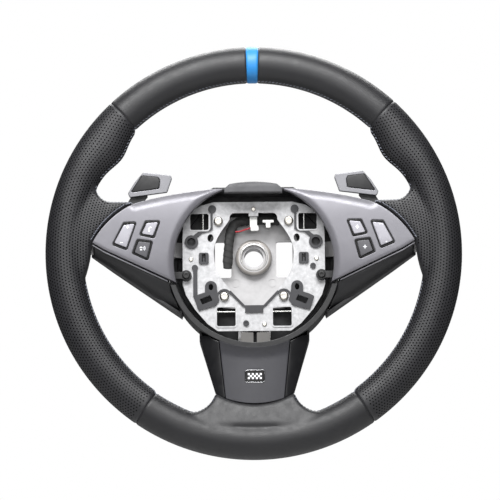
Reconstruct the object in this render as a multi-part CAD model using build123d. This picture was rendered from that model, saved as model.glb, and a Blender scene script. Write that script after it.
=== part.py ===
"""Three-spoke car steering wheel without its airbag, built as separate parts.

Millimetres. +X is to the driver's right, +Z points to twelve o'clock and +Y runs
away from the driver along the steering column. The origin is on the column axis,
at the rear face of the hub boss.
"""

import os
from math import cos, exp, radians, sin

from build123d import *

# Rim
RIM_OUTER_R = 190.0
RIM_INNER_R = 156.5
RIM_Y = -62.0
RIM_HALF_DEPTH = 15.5
LEATHER_T = 1.2
CORE_R = 5.0
CORE_RING_R = 174.0
STRIPE_HALF_ANGLE = 1.75
FOAM_CUT = 0.1
SEAM_TOP = 43.3
SEAM_LOW = 145.3
GRIP_INNER_R = 155.2
THUMB_ANGLE = 54.0
THUMB_RISE = 7.0
THUMB_SPREAD = 7.0
ROOT_Y = (-50.0, -72.5)
ROOT_EDGE_R = 8.0

# Hub
BOSS_R = 16.8
BOSS_LIP_R = 11.5
BOSS_CHAMFER = 2.6
BORE_R = 8.95
BOSS_LENGTH = 24.0
LIP_DEPTH = 3.0
FLOOR_Y = (-12.0, -17.0)
SLOT_X = (20.8, 36.0)
SLOT_Z = (-18.0, 15.4)
WELL_CENTRE_Z = -9.0
WELL_R = 76.5
WELL_WALL = 2.5
WELL_TOP_Z = 58.5
TRIM_INNER_R = 73.2
HUB_GAP = 0.3
COVER_Y = (-4.0, -28.0)
COVER_HOLE_R = 42.0
COVER_CHAMFER = 6.0
SHROUD_Y = (-28.0, -53.5)
LIP_Y = -63.5
LIP_INNER_R = 74.2
PUSH_MARK = (17.0, -23.5)

# Airbag carrier plate
PLATE_Y = (-38.0, -40.0)
UPPER_SCREW = (32.4, 31.5)
LOWER_SCREW = (27.3, -38.4)
PILLAR_R = 5.0
SCREW_R = 2.5
SCREW_HEAD_R = 4.35
UPPER_WINDOW = (49.8, 31.2, 16.9, 15.2)
LOWER_WINDOW = (25.7, -57.0, 17.2, 17.4)
WINDOW_R = 1.8
EMBOSS_W = 1.3
EMBOSS_H = 0.7
CLIP_EAR = (39.6, -29.4)
CUP = (57.2, 12.3)
CUP_R = 6.3
CUP_BORE_R = 3.9
CUP_BODY_R = 5.2
TRIM_SCREW = (62.1, -19.0)
PAD_Y = -41.6
WIRE_R = 0.8
WIRE_Y = -36.4
UPPER_WIRE_X = 46.5
LOWER_WIRE_Z = -52.0

# Side spokes, given for the right side and mirrored for the left
TRIM_Y = -68.0
TRIM_BEND_R = 200.0
TRIM_BEND_Z = 18.0
TRIM_T = 2.4
TRIM_SKIRT = 1.8
TRIM_TILT = 4.0
TRIM_PIVOT_X = 100.0
ARM_Z = (0.0, 14.0)
ARM_GAP = 0.8
LOWER_ARM_X = 5.0
LOWER_ARM_W = 9.8
CAP_PROUD = 0.9
BEZEL_SINK = 0.6
BEZEL_W = 1.6
CAP_GAP = 0.4
CAP_REAR_Y = -61.5
HOUSING_Y = (-52.0, -59.6)
ROCKER = ((118.4, 27.3), (106.2, 28.0), (115.5, 1.1), (129.1, 6.4))
BUTTON_UPPER = ((98.6, 28.8), (84.6, 29.1), (90.5, 12.3), (104.4, 15.1))
BUTTON_LOWER = ((106.2, 11.9), (91.6, 9.9), (96.3, -8.2), (111.1, -1.7))
CONTROL_CORNER_R = 1.9
ROCKER_AXIS = (117.6, -62.5, 15.4)
ROCKER_PIN_R = 0.9
ROCKER_PIN_HALF = 6.1
UNDERCOVER_Y = (-52.0, -61.3)

# Lower spoke
LOWER_FACE_Y = -66.0
LOWER_BEND_R = 180.0
LOWER_COVER_T = 2.6
SHELL_T = 2.4
BADGE = (0.0, -114.3)
BADGE_FRAME = (17.7, 11.3)
BADGE_INSERT = (14.7, 8.3)
BADGE_FLOOR_Y = -65.4

# Paddles
PADDLE_Y = (-42.0, -46.0)
PAD_POCKET = 2.0
PAD_PROUD = 1.2
PIVOT_Y = -40.0
PIVOT_Z = 26.0
LEVER_X = (107.0, 119.0)
LEVER_HUB_R = 5.0
PIN_R = 1.5
PIN_CLEARANCE = 0.05
EAR_T = 3.2
EAR_GAP = 0.6

# Harness
HARNESS_R = 4.6
RED_WIRE_R = 0.7


def driver_plane(y):
    """Plane at depth y that faces the driver, with local axes +X and +Z."""
    return Plane(origin=(0, y, 0), x_dir=(1, 0, 0), z_dir=(0, -1, 0))


def slab(sketch, y_rear, y_front):
    """Extrude an X-Z outline from y_rear towards the driver to y_front."""
    return extrude(driver_plane(y_rear) * sketch, amount=y_rear - y_front, dir=(0, -1, 0))


def poly(*points, r=0.0):
    """Closed polygon that faces up, with its corners rounded by r."""
    turn = sum(a[0] * b[1] - b[0] * a[1] for a, b in zip(points, points[1:] + points[:1]))
    face = Polygon(*(points if turn > 0 else reversed(points)), align=None)
    if r:
        face = fillet(face.vertices(), r)
    return face


def rect(x, z, width, height, r=0.0, turn=0.0):
    """Rectangle centred on (x, z)."""
    face = Rectangle(width, height)
    if r:
        face = fillet(face.vertices(), r)
    return Pos(x, z) * Rot(0, 0, turn) * face


def disc(x, z, r):
    """Circle centred on (x, z)."""
    return Pos(x, z) * Circle(r)


def rod_y(x, z, r, y_rear, y_front):
    """Cylinder along Y."""
    return slab(disc(x, z, r), y_rear, y_front)


def rod_x(x0, x1, y, z, r):
    """Cylinder along X."""
    return Pos((x0 + x1) / 2, y, z) * Rot(0, 90, 0) * Cylinder(r, x1 - x0)


def block(x0, x1, y0, y1, z0, z1):
    """Box between two corners."""
    centre = Pos((x0 + x1) / 2, (y0 + y1) / 2, (z0 + z1) / 2)
    return centre * Box(abs(x1 - x0), abs(y1 - y0), abs(z1 - z0))


def mirrored(shape):
    """The same shape on the other side of the wheel."""
    return mirror(shape, about=Plane.YZ)


def both(shape):
    """A shape and its mirror image."""
    return shape + mirrored(shape)


def tilted(shape):
    """Turn a right-hand spoke part so its outboard end comes forward."""
    there = Pos(TRIM_PIVOT_X, TRIM_Y, 0)
    back = Pos(-TRIM_PIVOT_X, -TRIM_Y, 0)
    return there * Rot(0, 0, -TRIM_TILT) * back * shape


def bend(offset):
    """Cylinder whose front face is the spoke's curved surface moved by offset."""
    radius = TRIM_BEND_R + offset
    centre = Pos(TRIM_PIVOT_X, TRIM_Y + TRIM_BEND_R, TRIM_BEND_Z)
    return centre * Rot(0, 90, 0) * Cylinder(radius, 2 * TRIM_BEND_R)


def well(radius_step=0.0):
    """Outline of the hub well: a circle cut flat at the top."""
    circle = disc(0, WELL_CENTRE_Z, WELL_R + radius_step)
    top = WELL_TOP_Z + radius_step
    keep = rect(0, top - 2 * WELL_R, 4 * WELL_R, 4 * WELL_R)
    return circle & keep


# Rim ---------------------------------------------------------------------------


def rim_sector(start, stop, inset):
    """Plain stretch of rim between two clock angles, thinner by inset."""
    half_width = (RIM_OUTER_R - RIM_INNER_R) / 2 - inset
    centre = (RIM_OUTER_R + RIM_INNER_R) / 2
    section = Pos(centre, RIM_Y) * Ellipse(half_width, RIM_HALF_DEPTH - inset)
    arc = revolve(section, axis=Axis.Y, revolution_arc=stop - start)
    return Rot(0, start - 90, 0) * arc


def grip_inner_radius(angle):
    """Inner radius of a hand grip at a clock angle, with the thumb rest."""
    rest = exp(-((angle - THUMB_ANGLE) / THUMB_SPREAD) ** 2)
    return GRIP_INNER_R - THUMB_RISE * rest


def grip_loft(inset):
    """Right-hand grip, lofted through sections at even clock angles."""
    steps = 24
    sections = []
    for i in range(steps + 1):
        angle = SEAM_TOP + (SEAM_LOW - SEAM_TOP) * i / steps
        inner = grip_inner_radius(angle)
        half_width = (RIM_OUTER_R - inner) / 2 - inset
        centre = (RIM_OUTER_R + inner) / 2
        s, c = sin(radians(angle)), cos(radians(angle))
        plane = Plane(origin=(0, 0, 0), x_dir=(s, 0, c), z_dir=(-c, 0, s))
        ellipse = Ellipse(half_width, RIM_HALF_DEPTH - inset)
        sections.append(plane * Pos(centre, RIM_Y) * ellipse)
    return loft(sections)


def root_outline():
    """Leather that flares from the right grip onto the spoke."""
    upper = ThreePointArc((144.5, 62.0), (140.8, 51.6), (132.0, 46.4))
    top = Line((132.0, 46.4), (107.9, 46.2))
    edge = ThreePointArc((107.9, 46.2), (129.0, 32.2), (147.6, 8.9))
    lower = ThreePointArc((147.6, 8.9), (150.0, -8.0), (155.5, -26.0))
    outer = Polyline((155.5, -26.0), (170.0, -26.0), (170.0, 62.0), (144.5, 62.0))
    return make_face(upper + top + edge + lower + outer)


def bottom_outline():
    """Leather that flares from the bottom of the rim onto the lower spoke."""
    right = ThreePointArc((62.0, -147.0), (43.0, -141.0), (35.9, -128.9))
    left = ThreePointArc((-35.9, -128.9), (-43.0, -141.0), (-62.0, -147.0))
    top = ThreePointArc((35.9, -128.9), (0.0, -139.6), (-35.9, -128.9))
    base = Polyline((-62.0, -147.0), (-62.0, -162.0), (62.0, -162.0), (62.0, -147.0))
    return make_face(right + top + left + base)


def root_solid(outline, inset, along_x):
    """Flare with rounded long edges, thinner by inset."""
    face = offset(outline, amount=-inset) if inset else outline
    rear, front = ROOT_Y[0] - inset, ROOT_Y[1] + inset
    body = slab(face, rear, front)
    box = face.bounding_box()
    if along_x:
        low, high = box.min.Y - 40, box.max.Y
        mid = (low + high) / 2
        section = Pos((rear + front) / 2, mid) * Rectangle(rear - front, high - low)
        section = fillet(section.vertices(), ROOT_EDGE_R - inset)
        mould = extrude(Plane.YZ * section, amount=2 * RIM_OUTER_R, dir=(1, 0, 0))
    else:
        width = box.max.X - box.min.X
        section = Pos(0, (rear + front) / 2) * Rectangle(width, rear - front)
        section = fillet(section.vertices(), ROOT_EDGE_R - inset)
        mould = extrude(section, amount=2 * RIM_OUTER_R, dir=(0, 0, -1))
    return body & mould


def grip_solid(inset):
    """Right grip with its flare."""
    return grip_loft(inset) + root_solid(root_outline(), inset, True)


def bottom_solid(inset, cut=0.0):
    """Bottom stretch of the rim with its flare, shortened by an angle at each end."""
    start = SEAM_LOW + cut
    plain = rim_sector(start, 360 - start, inset)
    return plain + root_solid(bottom_outline(), inset, False)


def rim_core():
    """Steel ring inside the rim."""
    return Pos(0, RIM_Y, 0) * Rot(90, 0, 0) * Torus(CORE_RING_R, CORE_R)


def rim_foam():
    """Foam moulded round the core in four stretches, with the arms' ends cast in."""
    top = rim_sector(FOAM_CUT - SEAM_TOP, SEAM_TOP - FOAM_CUT, LEATHER_T) - rim_core()
    right = grip_solid(LEATHER_T) - side_arm() - rim_core()
    bottom = bottom_solid(LEATHER_T, FOAM_CUT) - both(lower_arm()) - rim_core()
    stretches = (top, right, mirrored(right), bottom)
    return Compound(children=[stretch.solid() for stretch in stretches])


def leather_top_right():
    """Smooth leather between the centre stripe and the right seam."""
    outer = rim_sector(STRIPE_HALF_ANGLE, SEAM_TOP, 0)
    return outer - rim_sector(STRIPE_HALF_ANGLE - 1, SEAM_TOP + 1, LEATHER_T)


def leather_centre_stripe():
    """Coloured marker stripe at twelve o'clock."""
    outer = rim_sector(-STRIPE_HALF_ANGLE, STRIPE_HALF_ANGLE, 0)
    return outer - rim_sector(-STRIPE_HALF_ANGLE - 1, STRIPE_HALF_ANGLE + 1, LEATHER_T)


def leather_grip_right():
    """Perforated leather of the right grip and its flare."""
    return grip_solid(0) - grip_solid(LEATHER_T) - side_arm()


def leather_bottom():
    """Smooth leather at the bottom and its flare."""
    return bottom_solid(0) - bottom_solid(LEATHER_T) - both(lower_arm())


# Armature ----------------------------------------------------------------------


def side_arm(grow=0.0):
    """Cast arm from the hub floor to the rim core, on the right."""
    rear = [(56, -12), (79, -23.5), (112, -35), (148, -50), (167, -57)]
    front = [(167, -65), (148, -58), (112, -43), (79, -31.5), (56, -17)]
    profile = Polygon(*rear, *front, align=None)
    if grow:
        profile = offset(profile, amount=grow)
    arm = extrude(profile, amount=ARM_Z[1] - ARM_Z[0] + 2 * grow, dir=(0, 0, 1))
    return Pos(0, 0, ARM_Z[0] - grow) * arm


def lower_arm(grow=0.0):
    """One of the two cast arms of the lower spoke, on the right."""
    rear = [(-12, -56), (-28, -90), (-48, -130), (-57, -167)]
    front = [(-65, -167), (-56, -130), (-36, -90), (-17, -56)]
    profile = Polygon(*rear, *front, align=None)
    if grow:
        profile = offset(profile, amount=grow)
    arm = extrude(Plane.YZ * profile, amount=LOWER_ARM_W + 2 * grow, dir=(1, 0, 0))
    return Pos(LOWER_ARM_X - grow, 0, 0) * arm


def armature():
    """Die-cast hub with boss, floor, pillars and four arms."""
    top = [(30, 38.5), (38.6, 36.5), (38.6, 21.5), (43, 12.2), (47, 14.8), (60, 14.8)]
    bottom = [(60, -0.8), (46, -5), (41, -18), (33.6, -35), (33.2, -43), (28, -46.6)]
    half = [*top, *bottom, (14.8, -46.6), (14.8, -62)]
    outline = Polygon(*half, *[(-x, z) for x, z in reversed(half)], align=None)
    outline = fillet(outline.vertices(), 1.5)
    slot_w, slot_h = SLOT_X[1] - SLOT_X[0], SLOT_Z[1] - SLOT_Z[0]
    slot_x, slot_z = sum(SLOT_X) / 2, sum(SLOT_Z) / 2
    for side in (-1, 1):
        outline = outline - rect(side * slot_x, slot_z, slot_w, slot_h, r=2)
    body = slab(outline, *FLOOR_Y)
    boss = rod_y(0, 0, BOSS_R, 0, -BOSS_LENGTH)
    boss = chamfer(boss.edges().filter_by(GeomType.CIRCLE).sort_by(Axis.Y)[0], BOSS_CHAMFER)
    body = body + boss
    for x, z in (UPPER_SCREW, LOWER_SCREW):
        body = body + both(rod_y(x, z, PILLAR_R, FLOOR_Y[1], PLATE_Y[0]))
        body = body - both(rod_y(x, z, SCREW_R + 0.1, FLOOR_Y[1], PLATE_Y[0] - 1))
    body = body + both(side_arm()) + both(lower_arm()) - rim_core()
    mark = slab(disc(*PUSH_MARK, 3.9) - disc(*PUSH_MARK, 3.4), FLOOR_Y[1] + 0.4, FLOOR_Y[1] - 1)
    body = body - both(mark) - rod_y(0, 0, BORE_R, 1, -BOSS_LENGTH - 1)
    return body - rod_y(0, 0, BOSS_LIP_R, LIP_DEPTH - BOSS_LENGTH, -BOSS_LENGTH - 1)


# Hub ---------------------------------------------------------------------------


def rear_cover():
    """Black dish behind the hub, open round the column."""
    outer = slab(well(WELL_WALL), *COVER_Y)
    rear_edges = outer.faces().sort_by(Axis.Y)[-1].edges()
    outer = chamfer(rear_edges, COVER_CHAMFER)
    step_y = COVER_Y[0] - COVER_CHAMFER - 2
    inner = slab(well(), step_y, COVER_Y[1] - 1)
    floor = slab(well(0.5 - COVER_CHAMFER), COVER_Y[0] - WELL_WALL, step_y - 0.5)
    body = outer - inner - floor - rod_y(0, 0, COVER_HOLE_R, 5, -20)
    return body - both(side_arm(ARM_GAP)) - both(lower_arm(ARM_GAP))


def hub_shroud():
    """Black wall of the airbag well, its lower lip and the two screw lugs."""
    wall = slab(well(WELL_WALL) - well(), *SHROUD_Y)
    wall = wall - both(side_arm(ARM_GAP)) - both(lower_arm(ARM_GAP))
    lip = disc(0, WELL_CENTRE_Z, WELL_R + WELL_WALL) - disc(0, WELL_CENTRE_Z, LIP_INNER_R)
    lip = lip & rect(0, -80, 4 * WELL_R, 100)
    x, z = TRIM_SCREW
    lug = slab(rect(x + 7.5, z, 15, 6.5) + disc(x, z, 5.0), PLATE_Y[1] - 0.4, -45)
    lug = lug - rod_y(x, z, 2.1, -30, -50)
    return wall + slab(lip, SHROUD_Y[1], LIP_Y) + both(lug)


def top_pad():
    """Grey grained pad that closes the well at twelve o'clock."""
    half = [(22.6, 64.8), (26.6, 60.6), (26.6, 55.0)]
    outline = Polygon(*half, *[(-x, z) for x, z in reversed(half)], align=None)
    outline = fillet(outline.vertices(), 1.4)
    body = slab(outline, SHROUD_Y[1], -63)
    roof = slab(rect(0, 63.2, 44, 1.6), -30, SHROUD_Y[1])
    return fillet(body.faces().sort_by(Axis.Y)[0].edges(), 0.9) + roof


def connector_blocks():
    """Two grey plug blocks under the carrier plate."""
    left = slab(rect(-6.6, -77.0, 11.2, 9.5, r=0.8), -33, -46)
    right = slab(rect(8.2, -77.0, 12.0, 9.5, r=0.8), -33, -46)
    return left + right


# Carrier plate -----------------------------------------------------------------


def plate_outline():
    """Outer edge of the carrier plate."""
    upper = [(36, 49.4), (48.2, 46.4), (57.8, 40.4), (64.6, 29.6), (65.4, 18.4)]
    lower = [(65.4, -27), (62.4, -37), (54.2, -50.2), (43.1, -63.2), (33.5, -70.2)]
    half = upper + lower
    outline = Polygon(*half, *[(-x, z) for x, z in reversed(half)], align=None)
    return fillet(outline.vertices(), 3.0)


def plate_opening():
    """Opening round the column nut, with the tongue at its top."""
    side = [(24.4, 29.5), (33.2, 16.2), (36.3, 7.4), (36.7, -1.2), (34.9, -11.7)]
    side = side + [(29.7, -22.2), (22.7, -30.9), (14.9, -41.4), (9.5, -46.2)]
    right = Polyline((20, 36.5), side[0]) + Spline(*side)
    left = Polyline((-20, 36.5), (-24.4, 29.5)) + Spline(*[(-x, z) for x, z in side])
    bottom = Line((9.5, -46.2), (-9.5, -46.2))
    top = Line((-20, 36.5), (20, 36.5))
    face = make_face(right + bottom + left + top)
    lobe = rect(0, 34.4, 44, 9.6, r=4.4)
    return face + lobe - rect(0, 39.2, 8.8, 6)


def window(spec, step=0.0):
    """Hook window outline, widened by step."""
    x, z, width, height = spec
    return rect(x, z, width + 2 * step, height + 2 * step, r=WINDOW_R + step)


def wire_bridge(x, z, along_x):
    """Sheet loop behind the plate that keeps a latch wire in place."""
    span = (8.4, 2.4) if along_x else (2.4, 8.4)
    hollow = (6.4, 9.0) if along_x else (9.0, 6.4)
    loop = slab(rect(x, z, *span), -34.0, PLATE_Y[0])
    return loop - slab(rect(x, z, *hollow), -34.9, PLATE_Y[0] + 0.4)


def airbag_plate():
    """Pressed carrier plate with windows, holes and embossed edges."""
    face = plate_outline() - plate_opening()
    embossed = Sketch()
    for spec in (UPPER_WINDOW, LOWER_WINDOW):
        for side in (-1, 1):
            placed = (side * spec[0], *spec[1:])
            face = face - window(placed)
            embossed = embossed + (window(placed, EMBOSS_W) - window(placed))
    holes = [(*UPPER_SCREW, SCREW_R + 0.2), (*LOWER_SCREW, SCREW_R + 0.2)]
    holes = holes + [(*CUP, CUP_BODY_R)]
    for x, z, r in holes:
        face = face - disc(x, z, r) - disc(-x, z, r)
    for side in (-1, 1):
        face = face - Pos(side * 39.7, 16.1) * Ellipse(2.8, 3.7)
        face = face - rect(side * 46, -2.9, 7.4, 8.6, r=1.2)
        face = face - clip_hole(side) - clip_pocket(side)
    embossed = embossed & plate_outline()
    plate = slab(face, *PLATE_Y) + slab(embossed, PLATE_Y[1], PLATE_Y[1] - EMBOSS_H)
    for side in (-1, 1):
        for z in (21.6, 41.2):
            plate = plate + wire_bridge(side * (UPPER_WIRE_X - 1.3), z, True)
        for x in (13.6, 37.4):
            plate = plate + wire_bridge(side * x, LOWER_WIRE_Z + 1.3, False)
    return plate


def insulator_upper_right():
    """Dark plastic strip with its knob and the guide cup for the airbag pin."""
    x, z = CUP
    strip = rect(38.5, 33.0, 1.9, 18.5)
    neck = poly((37.6, 25.6), (39.4, 22.6), (47.5, 20.6), (53.4, 15.0), (55.6, 18.2))
    neck = neck + poly((37.6, 25.6), (55.6, 18.2), (49.5, 23.0), (45.0, 24.2))
    flange = disc(38, 42.8, 3.7) + strip + neck + disc(x, z, CUP_R)
    flange = flange - window(UPPER_WINDOW, 1.5)
    body = slab(flange, PLATE_Y[1], PAD_Y) + rod_y(x, z, CUP_BODY_R, -33.0, PLATE_Y[1])
    return body - rod_y(x, z, CUP_BORE_R, -34.0, PAD_Y - 1)


def clip_hole(side):
    """Oval hole in the ear of a lower clip."""
    return Pos(side * CLIP_EAR[0], CLIP_EAR[1]) * Ellipse(2.2, 3.1)


def clip_pocket(side):
    """Slanted pocket in the foot of a lower clip."""
    corners = [(50.0, -40.6), (40.4, -36.9), (38.1, -41.9), (47.5, -45.7)]
    return poly(*[(side * x, z) for x, z in corners], r=0.5)


def lower_clip(side):
    """One clip of the lower insulator: an ear above a slanted foot."""
    foot = [(55.4, -38.6), (50.8, -36.2), (34.2, -31.0), (31.8, -42.0), (35.2, -46.8), (51.2, -51.2)]
    foot = poly(*[(side * x, z) for x, z in foot], r=1.3)
    x, z = CLIP_EAR
    ear = rect(side * x, z - 3, 11, 6) + disc(side * x, z, 5.5)
    return foot + ear - clip_hole(side) - clip_pocket(side)


def insulator_lower():
    """Dark plastic strip that ties the two lower clips to the centre tab."""
    face = lower_clip(1) + lower_clip(-1)
    for side in (-1, 1):
        x, z = side * LOWER_SCREW[0], LOWER_SCREW[1]
        arc = disc(x, z, 7.0) - disc(x, z, 5.1)
        arc = arc & rect(x - side * 0.4, z + 5.0, 14.2, 6.0)
        corners = [(21.6, -32.9), (23.2, -34.2), (10.6, -47.6), (8.0, -47.2)]
        face = face + arc + poly(*[(side * px, pz) for px, pz in corners])
    tab = poly((-10.6, -46.6), (10.6, -46.6), (8.3, -49.2), (8.3, -53.4), (-8.3, -53.4), (-8.3, -49.2))
    strip = rect(-53.9, -25.0, 3.8, 27.0) + disc(-54.2, -11.7, 2.9)
    return slab(face + tab + strip, PLATE_Y[1], PAD_Y)


def airbag_guides():
    """Two black guide blocks pressed into the plate."""
    outline = rect(46, -2.9, 9.1, 10.5, r=1.8)
    slot = rect(46, -2.4, 3.6, 7.4, r=0.5) - rect(46, -4.6, 1.2, 4.4)
    body = slab(outline, PLATE_Y[1], PAD_Y) + slab(rect(46, -2.9, 7.2, 8.4, r=1.1), -35, -40.1)
    return both(body - slab(slot, -36.5, PAD_Y - 1))


def plate_plugs():
    """Round dark plugs on the plate."""
    plugs = Part()
    for x, z in ((54.4, -10.4), (-7.5, -63.2)):
        plug = rod_y(x, z, 2.7, PLATE_Y[1], PLATE_Y[1] - 1.5)
        plugs = plugs + plug - rod_y(x, z, 1.4, PLATE_Y[1] - 1.0, PAD_Y - 1)
    return plugs


def plate_rivets():
    """Domed rivets on the plate."""
    rivets = Part()
    for x, z in ((57.7, -3.5), (-57.7, -3.5), (9.3, -64.1), (0, 42.6)):
        rivet = rod_y(x, z, 2.1, PLATE_Y[1], PLATE_Y[1] - 1.2)
        top = rivet.edges().filter_by(GeomType.CIRCLE).sort_by(Axis.Y)[0]
        rivets = rivets + fillet(top, 0.8)
    return rivets


def star_socket(x, z, r, y_front, depth):
    """Six-lobed driver recess."""
    lobes = disc(x, z, 0.72 * r)
    for i in range(6):
        angle = radians(60 * i)
        lobes = lobes + disc(x + 0.72 * r * cos(angle), z + 0.72 * r * sin(angle), 0.28 * r)
    return slab(lobes, y_front + depth, y_front - 1)


def screw(x, z, shank_r, head_r, y_seat, head_h, reach):
    """Pan-head screw that points away from the driver."""
    head = rod_y(x, z, head_r, y_seat, y_seat - head_h)
    top = head.edges().filter_by(GeomType.CIRCLE).sort_by(Axis.Y)[0]
    head = fillet(top, 0.6 * head_h)
    body = head + rod_y(x, z, shank_r, y_seat + reach, y_seat)
    return body - star_socket(x, z, 0.5 * head_r, y_seat - head_h, 0.6 * head_h)


def plate_screws():
    """Four silver screws through the plate into the pillars."""
    screws = Part()
    for x, z in (UPPER_SCREW, LOWER_SCREW):
        one = screw(x, z, SCREW_R, SCREW_HEAD_R, PLATE_Y[1], 3.2, 18)
        screws = screws + one + mirrored(one)
    return screws


def trim_screws():
    """Two black screws in the shroud's lugs."""
    return both(screw(*TRIM_SCREW, 2.0, 3.6, -45.0, 2.2, 4.0))


def latch_wire_right():
    """Spring wire across the right upper window."""
    x = UPPER_WIRE_X
    path = FilletPolyline((x, -34.8 + 6, 45.6), (x, WIRE_Y, 45.6), (x, WIRE_Y, 17.6),
                          (x, -34.8 + 6, 17.6), radius=2.0)
    return sweep(Plane(origin=path @ 0, z_dir=path % 0) * Circle(WIRE_R), path=path)


def latch_wire_lower():
    """Spring wire across both lower windows."""
    z = LOWER_WIRE_Z
    path = FilletPolyline((-42.0, -29, z), (-42.0, WIRE_Y, z), (42.0, WIRE_Y, z),
                          (42.0, -29, z), radius=2.0)
    return sweep(Plane(origin=path @ 0, z_dir=path % 0) * Circle(WIRE_R), path=path)


# Side spokes -------------------------------------------------------------------


def trim_outline():
    """Silver trim of the right spoke, before the well is cut."""
    edge = ThreePointArc((147.0, 8.4), (128.6, 31.6), (107.5, 45.8))
    top = ThreePointArc((107.5, 45.8), (67.0, 55.2), (27.0, 60.1))
    inner = Polyline((27.0, 60.1), (27.0, 40.0), (60.0, -32.6), (135.2, 1.6), (147.0, 8.4))
    return make_face(edge + top + inner) - disc(0, WELL_CENTRE_Z, TRIM_INNER_R)


def control_face(points, step=0.0):
    """Outline of one control opening, shrunk by step."""
    face = poly(*points, r=CONTROL_CORNER_R)
    return offset(face, amount=-step) if step else face


def spoke_trim_right():
    """Curved silver trim with a skirt round its edge and three openings."""
    face = trim_outline()
    rear = -59.0
    hollow = slab(offset(face, amount=-TRIM_SKIRT), -50, -80) & bend(-TRIM_T)
    body = (slab(face, rear, -80) & bend(0)) - hollow
    for points in (ROCKER, BUTTON_UPPER, BUTTON_LOWER):
        body = body - slab(control_face(points), -45, -85)
    return tilted(body)


def button_bezels_right():
    """Three black frames that line the trim's openings."""
    frames = Part()
    for points in (ROCKER, BUTTON_UPPER, BUTTON_LOWER):
        ring = control_face(points) - control_face(points, BEZEL_W)
        frames = frames + (slab(ring, HOUSING_Y[1], -85) & bend(-BEZEL_SINK))
    return tilted(frames) - rocker_pins(ROCKER_PIN_R + PIN_CLEARANCE, 1.0)


def control_cap(points):
    """Silver cap that stands just proud of the trim."""
    face = control_face(points, BEZEL_W + CAP_GAP)
    cap = slab(face, CAP_REAR_Y, -85) & bend(CAP_PROUD)
    return tilted(cap)


def rocker_pins(radius, grow=0.0):
    """Pivot pins that snap into the rocker's frame, longer by grow at each end."""
    centre = tilted(Pos(*ROCKER_AXIS) * Sphere(radius)).center()
    half = ROCKER_PIN_HALF + grow
    return rod_x(centre.X - half, centre.X + half, centre.Y, centre.Z, radius)


def rocker_right():
    """Two-way rocker with its pivot pins."""
    return control_cap(ROCKER) + rocker_pins(ROCKER_PIN_R)


def switch_housing_right():
    """Black switch box behind the trim."""
    outline = poly((82, 31), (122, 31), (131.5, 5), (112, -5), (94.5, -11), r=2)
    return tilted(slab(outline, *HOUSING_Y))


def undercover_right():
    """Black cover below the trim, open at the rear."""
    upper = Polyline((58.0, -34.1), (135.3, 0.9), (145.6, 6.6), (146.4, -3.6))
    lower = Polyline((146.4, -3.6), (66.5, -57.0), (58.0, -34.1))
    face = make_face(upper + lower) - disc(0, WELL_CENTRE_Z, WELL_R + WELL_WALL + HUB_GAP)
    rear, front = UNDERCOVER_Y
    hollow = slab(offset(face, amount=-TRIM_SKIRT), rear + 1, front + TRIM_SKIRT)
    shell = slab(face, rear, front) - hollow
    return tilted(shell) - side_arm(ARM_GAP)


def rear_profile(depth_step):
    """X-Y section of the space in front of the spoke's rear wall."""
    rear = [(55, -12), (72, -17.5), (112, -28.5), (128, -33), (150, -46)]
    rear = [(x, y - depth_step) for x, y in rear]
    return Polygon(*rear, (150, -49), (55, -49), align=None)


def spoke_rear_cover_right():
    """Black shell behind the right spoke, with the paddle's slot."""
    top = Polyline((70.0, 47.5), (107.0, 44.0), (135.0, 42.0))
    end = ThreePointArc((135.0, 42.0), (144.8, 21.0), (148.6, -2.0))
    rest = Polyline((148.6, -2.0), (66.5, -56.6), (55.0, -20.0), (70.0, 47.5))
    face = make_face(top + end + rest)
    hub = disc(0, WELL_CENTRE_Z, WELL_R + WELL_WALL + HUB_GAP)
    outer = extrude(rear_profile(0), amount=120, dir=(0, 0, 1))
    inner = extrude(rear_profile(SHELL_T), amount=120, dir=(0, 0, 1))
    body = slab(face - hub, -12, -49) & (Pos(0, 0, -60) * outer)
    hollow = slab(offset(face, amount=-2.2), -10, -60)
    body = body - (hollow & (Pos(0, 0, -60) * inner)) - side_arm(ARM_GAP)
    return body - block(97, 127, -60, -34.5, 36, 60)


# Lower spoke -------------------------------------------------------------------


def lower_spoke_cover():
    """Satin centre panel of the lower spoke."""
    right = Line((33.0, -70.0), (26.5, -134.2))
    bottom = ThreePointArc((26.5, -134.2), (0, -139.0), (-26.5, -134.2))
    left = Polyline((-26.5, -134.2), (-33.0, -70.0), (33.0, -70.0))
    face = make_face(right + bottom + left)
    face = face - disc(0, WELL_CENTRE_Z, WELL_R + WELL_WALL + HUB_GAP)
    middle = Pos(0, LOWER_FACE_Y + LOWER_BEND_R, BADGE[1])
    outer = middle * Cylinder(LOWER_BEND_R, 2 * WELL_R)
    inner = middle * Cylinder(LOWER_BEND_R - LOWER_COVER_T, 2 * WELL_R)
    hollow = slab(offset(face, amount=-TRIM_SKIRT), -50, -70) & inner
    seat = slab(rect(*BADGE, BADGE_FRAME[0] + 0.2, BADGE_FRAME[1] + 0.2, r=1.9), -60, -80)
    return (slab(face, -58, -70) & outer) - hollow - seat - both(lower_arm(HUB_GAP))


def lower_spoke_flanks():
    """Two dark flanks that slope back from the centre panel."""
    upper = [(33.4, -62.0), (50.2, -55.0), (50.2, -47.0), (33.4, -50.0)]
    lower = [(26.9, -61.5), (36.2, -58.0), (36.2, -50.5), (26.9, -51.0)]
    top = Pos(0, 0, -76) * Polygon(*upper, align=None)
    low = Pos(0, 0, -132.5) * Polygon(*lower, align=None)
    wedge = loft([top, low], ruled=True)
    wedge = wedge - rod_y(0, WELL_CENTRE_Z, WELL_R + WELL_WALL + 0.3, -40, -80)
    return both(wedge - root_solid(bottom_outline(), 0, False))


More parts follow.
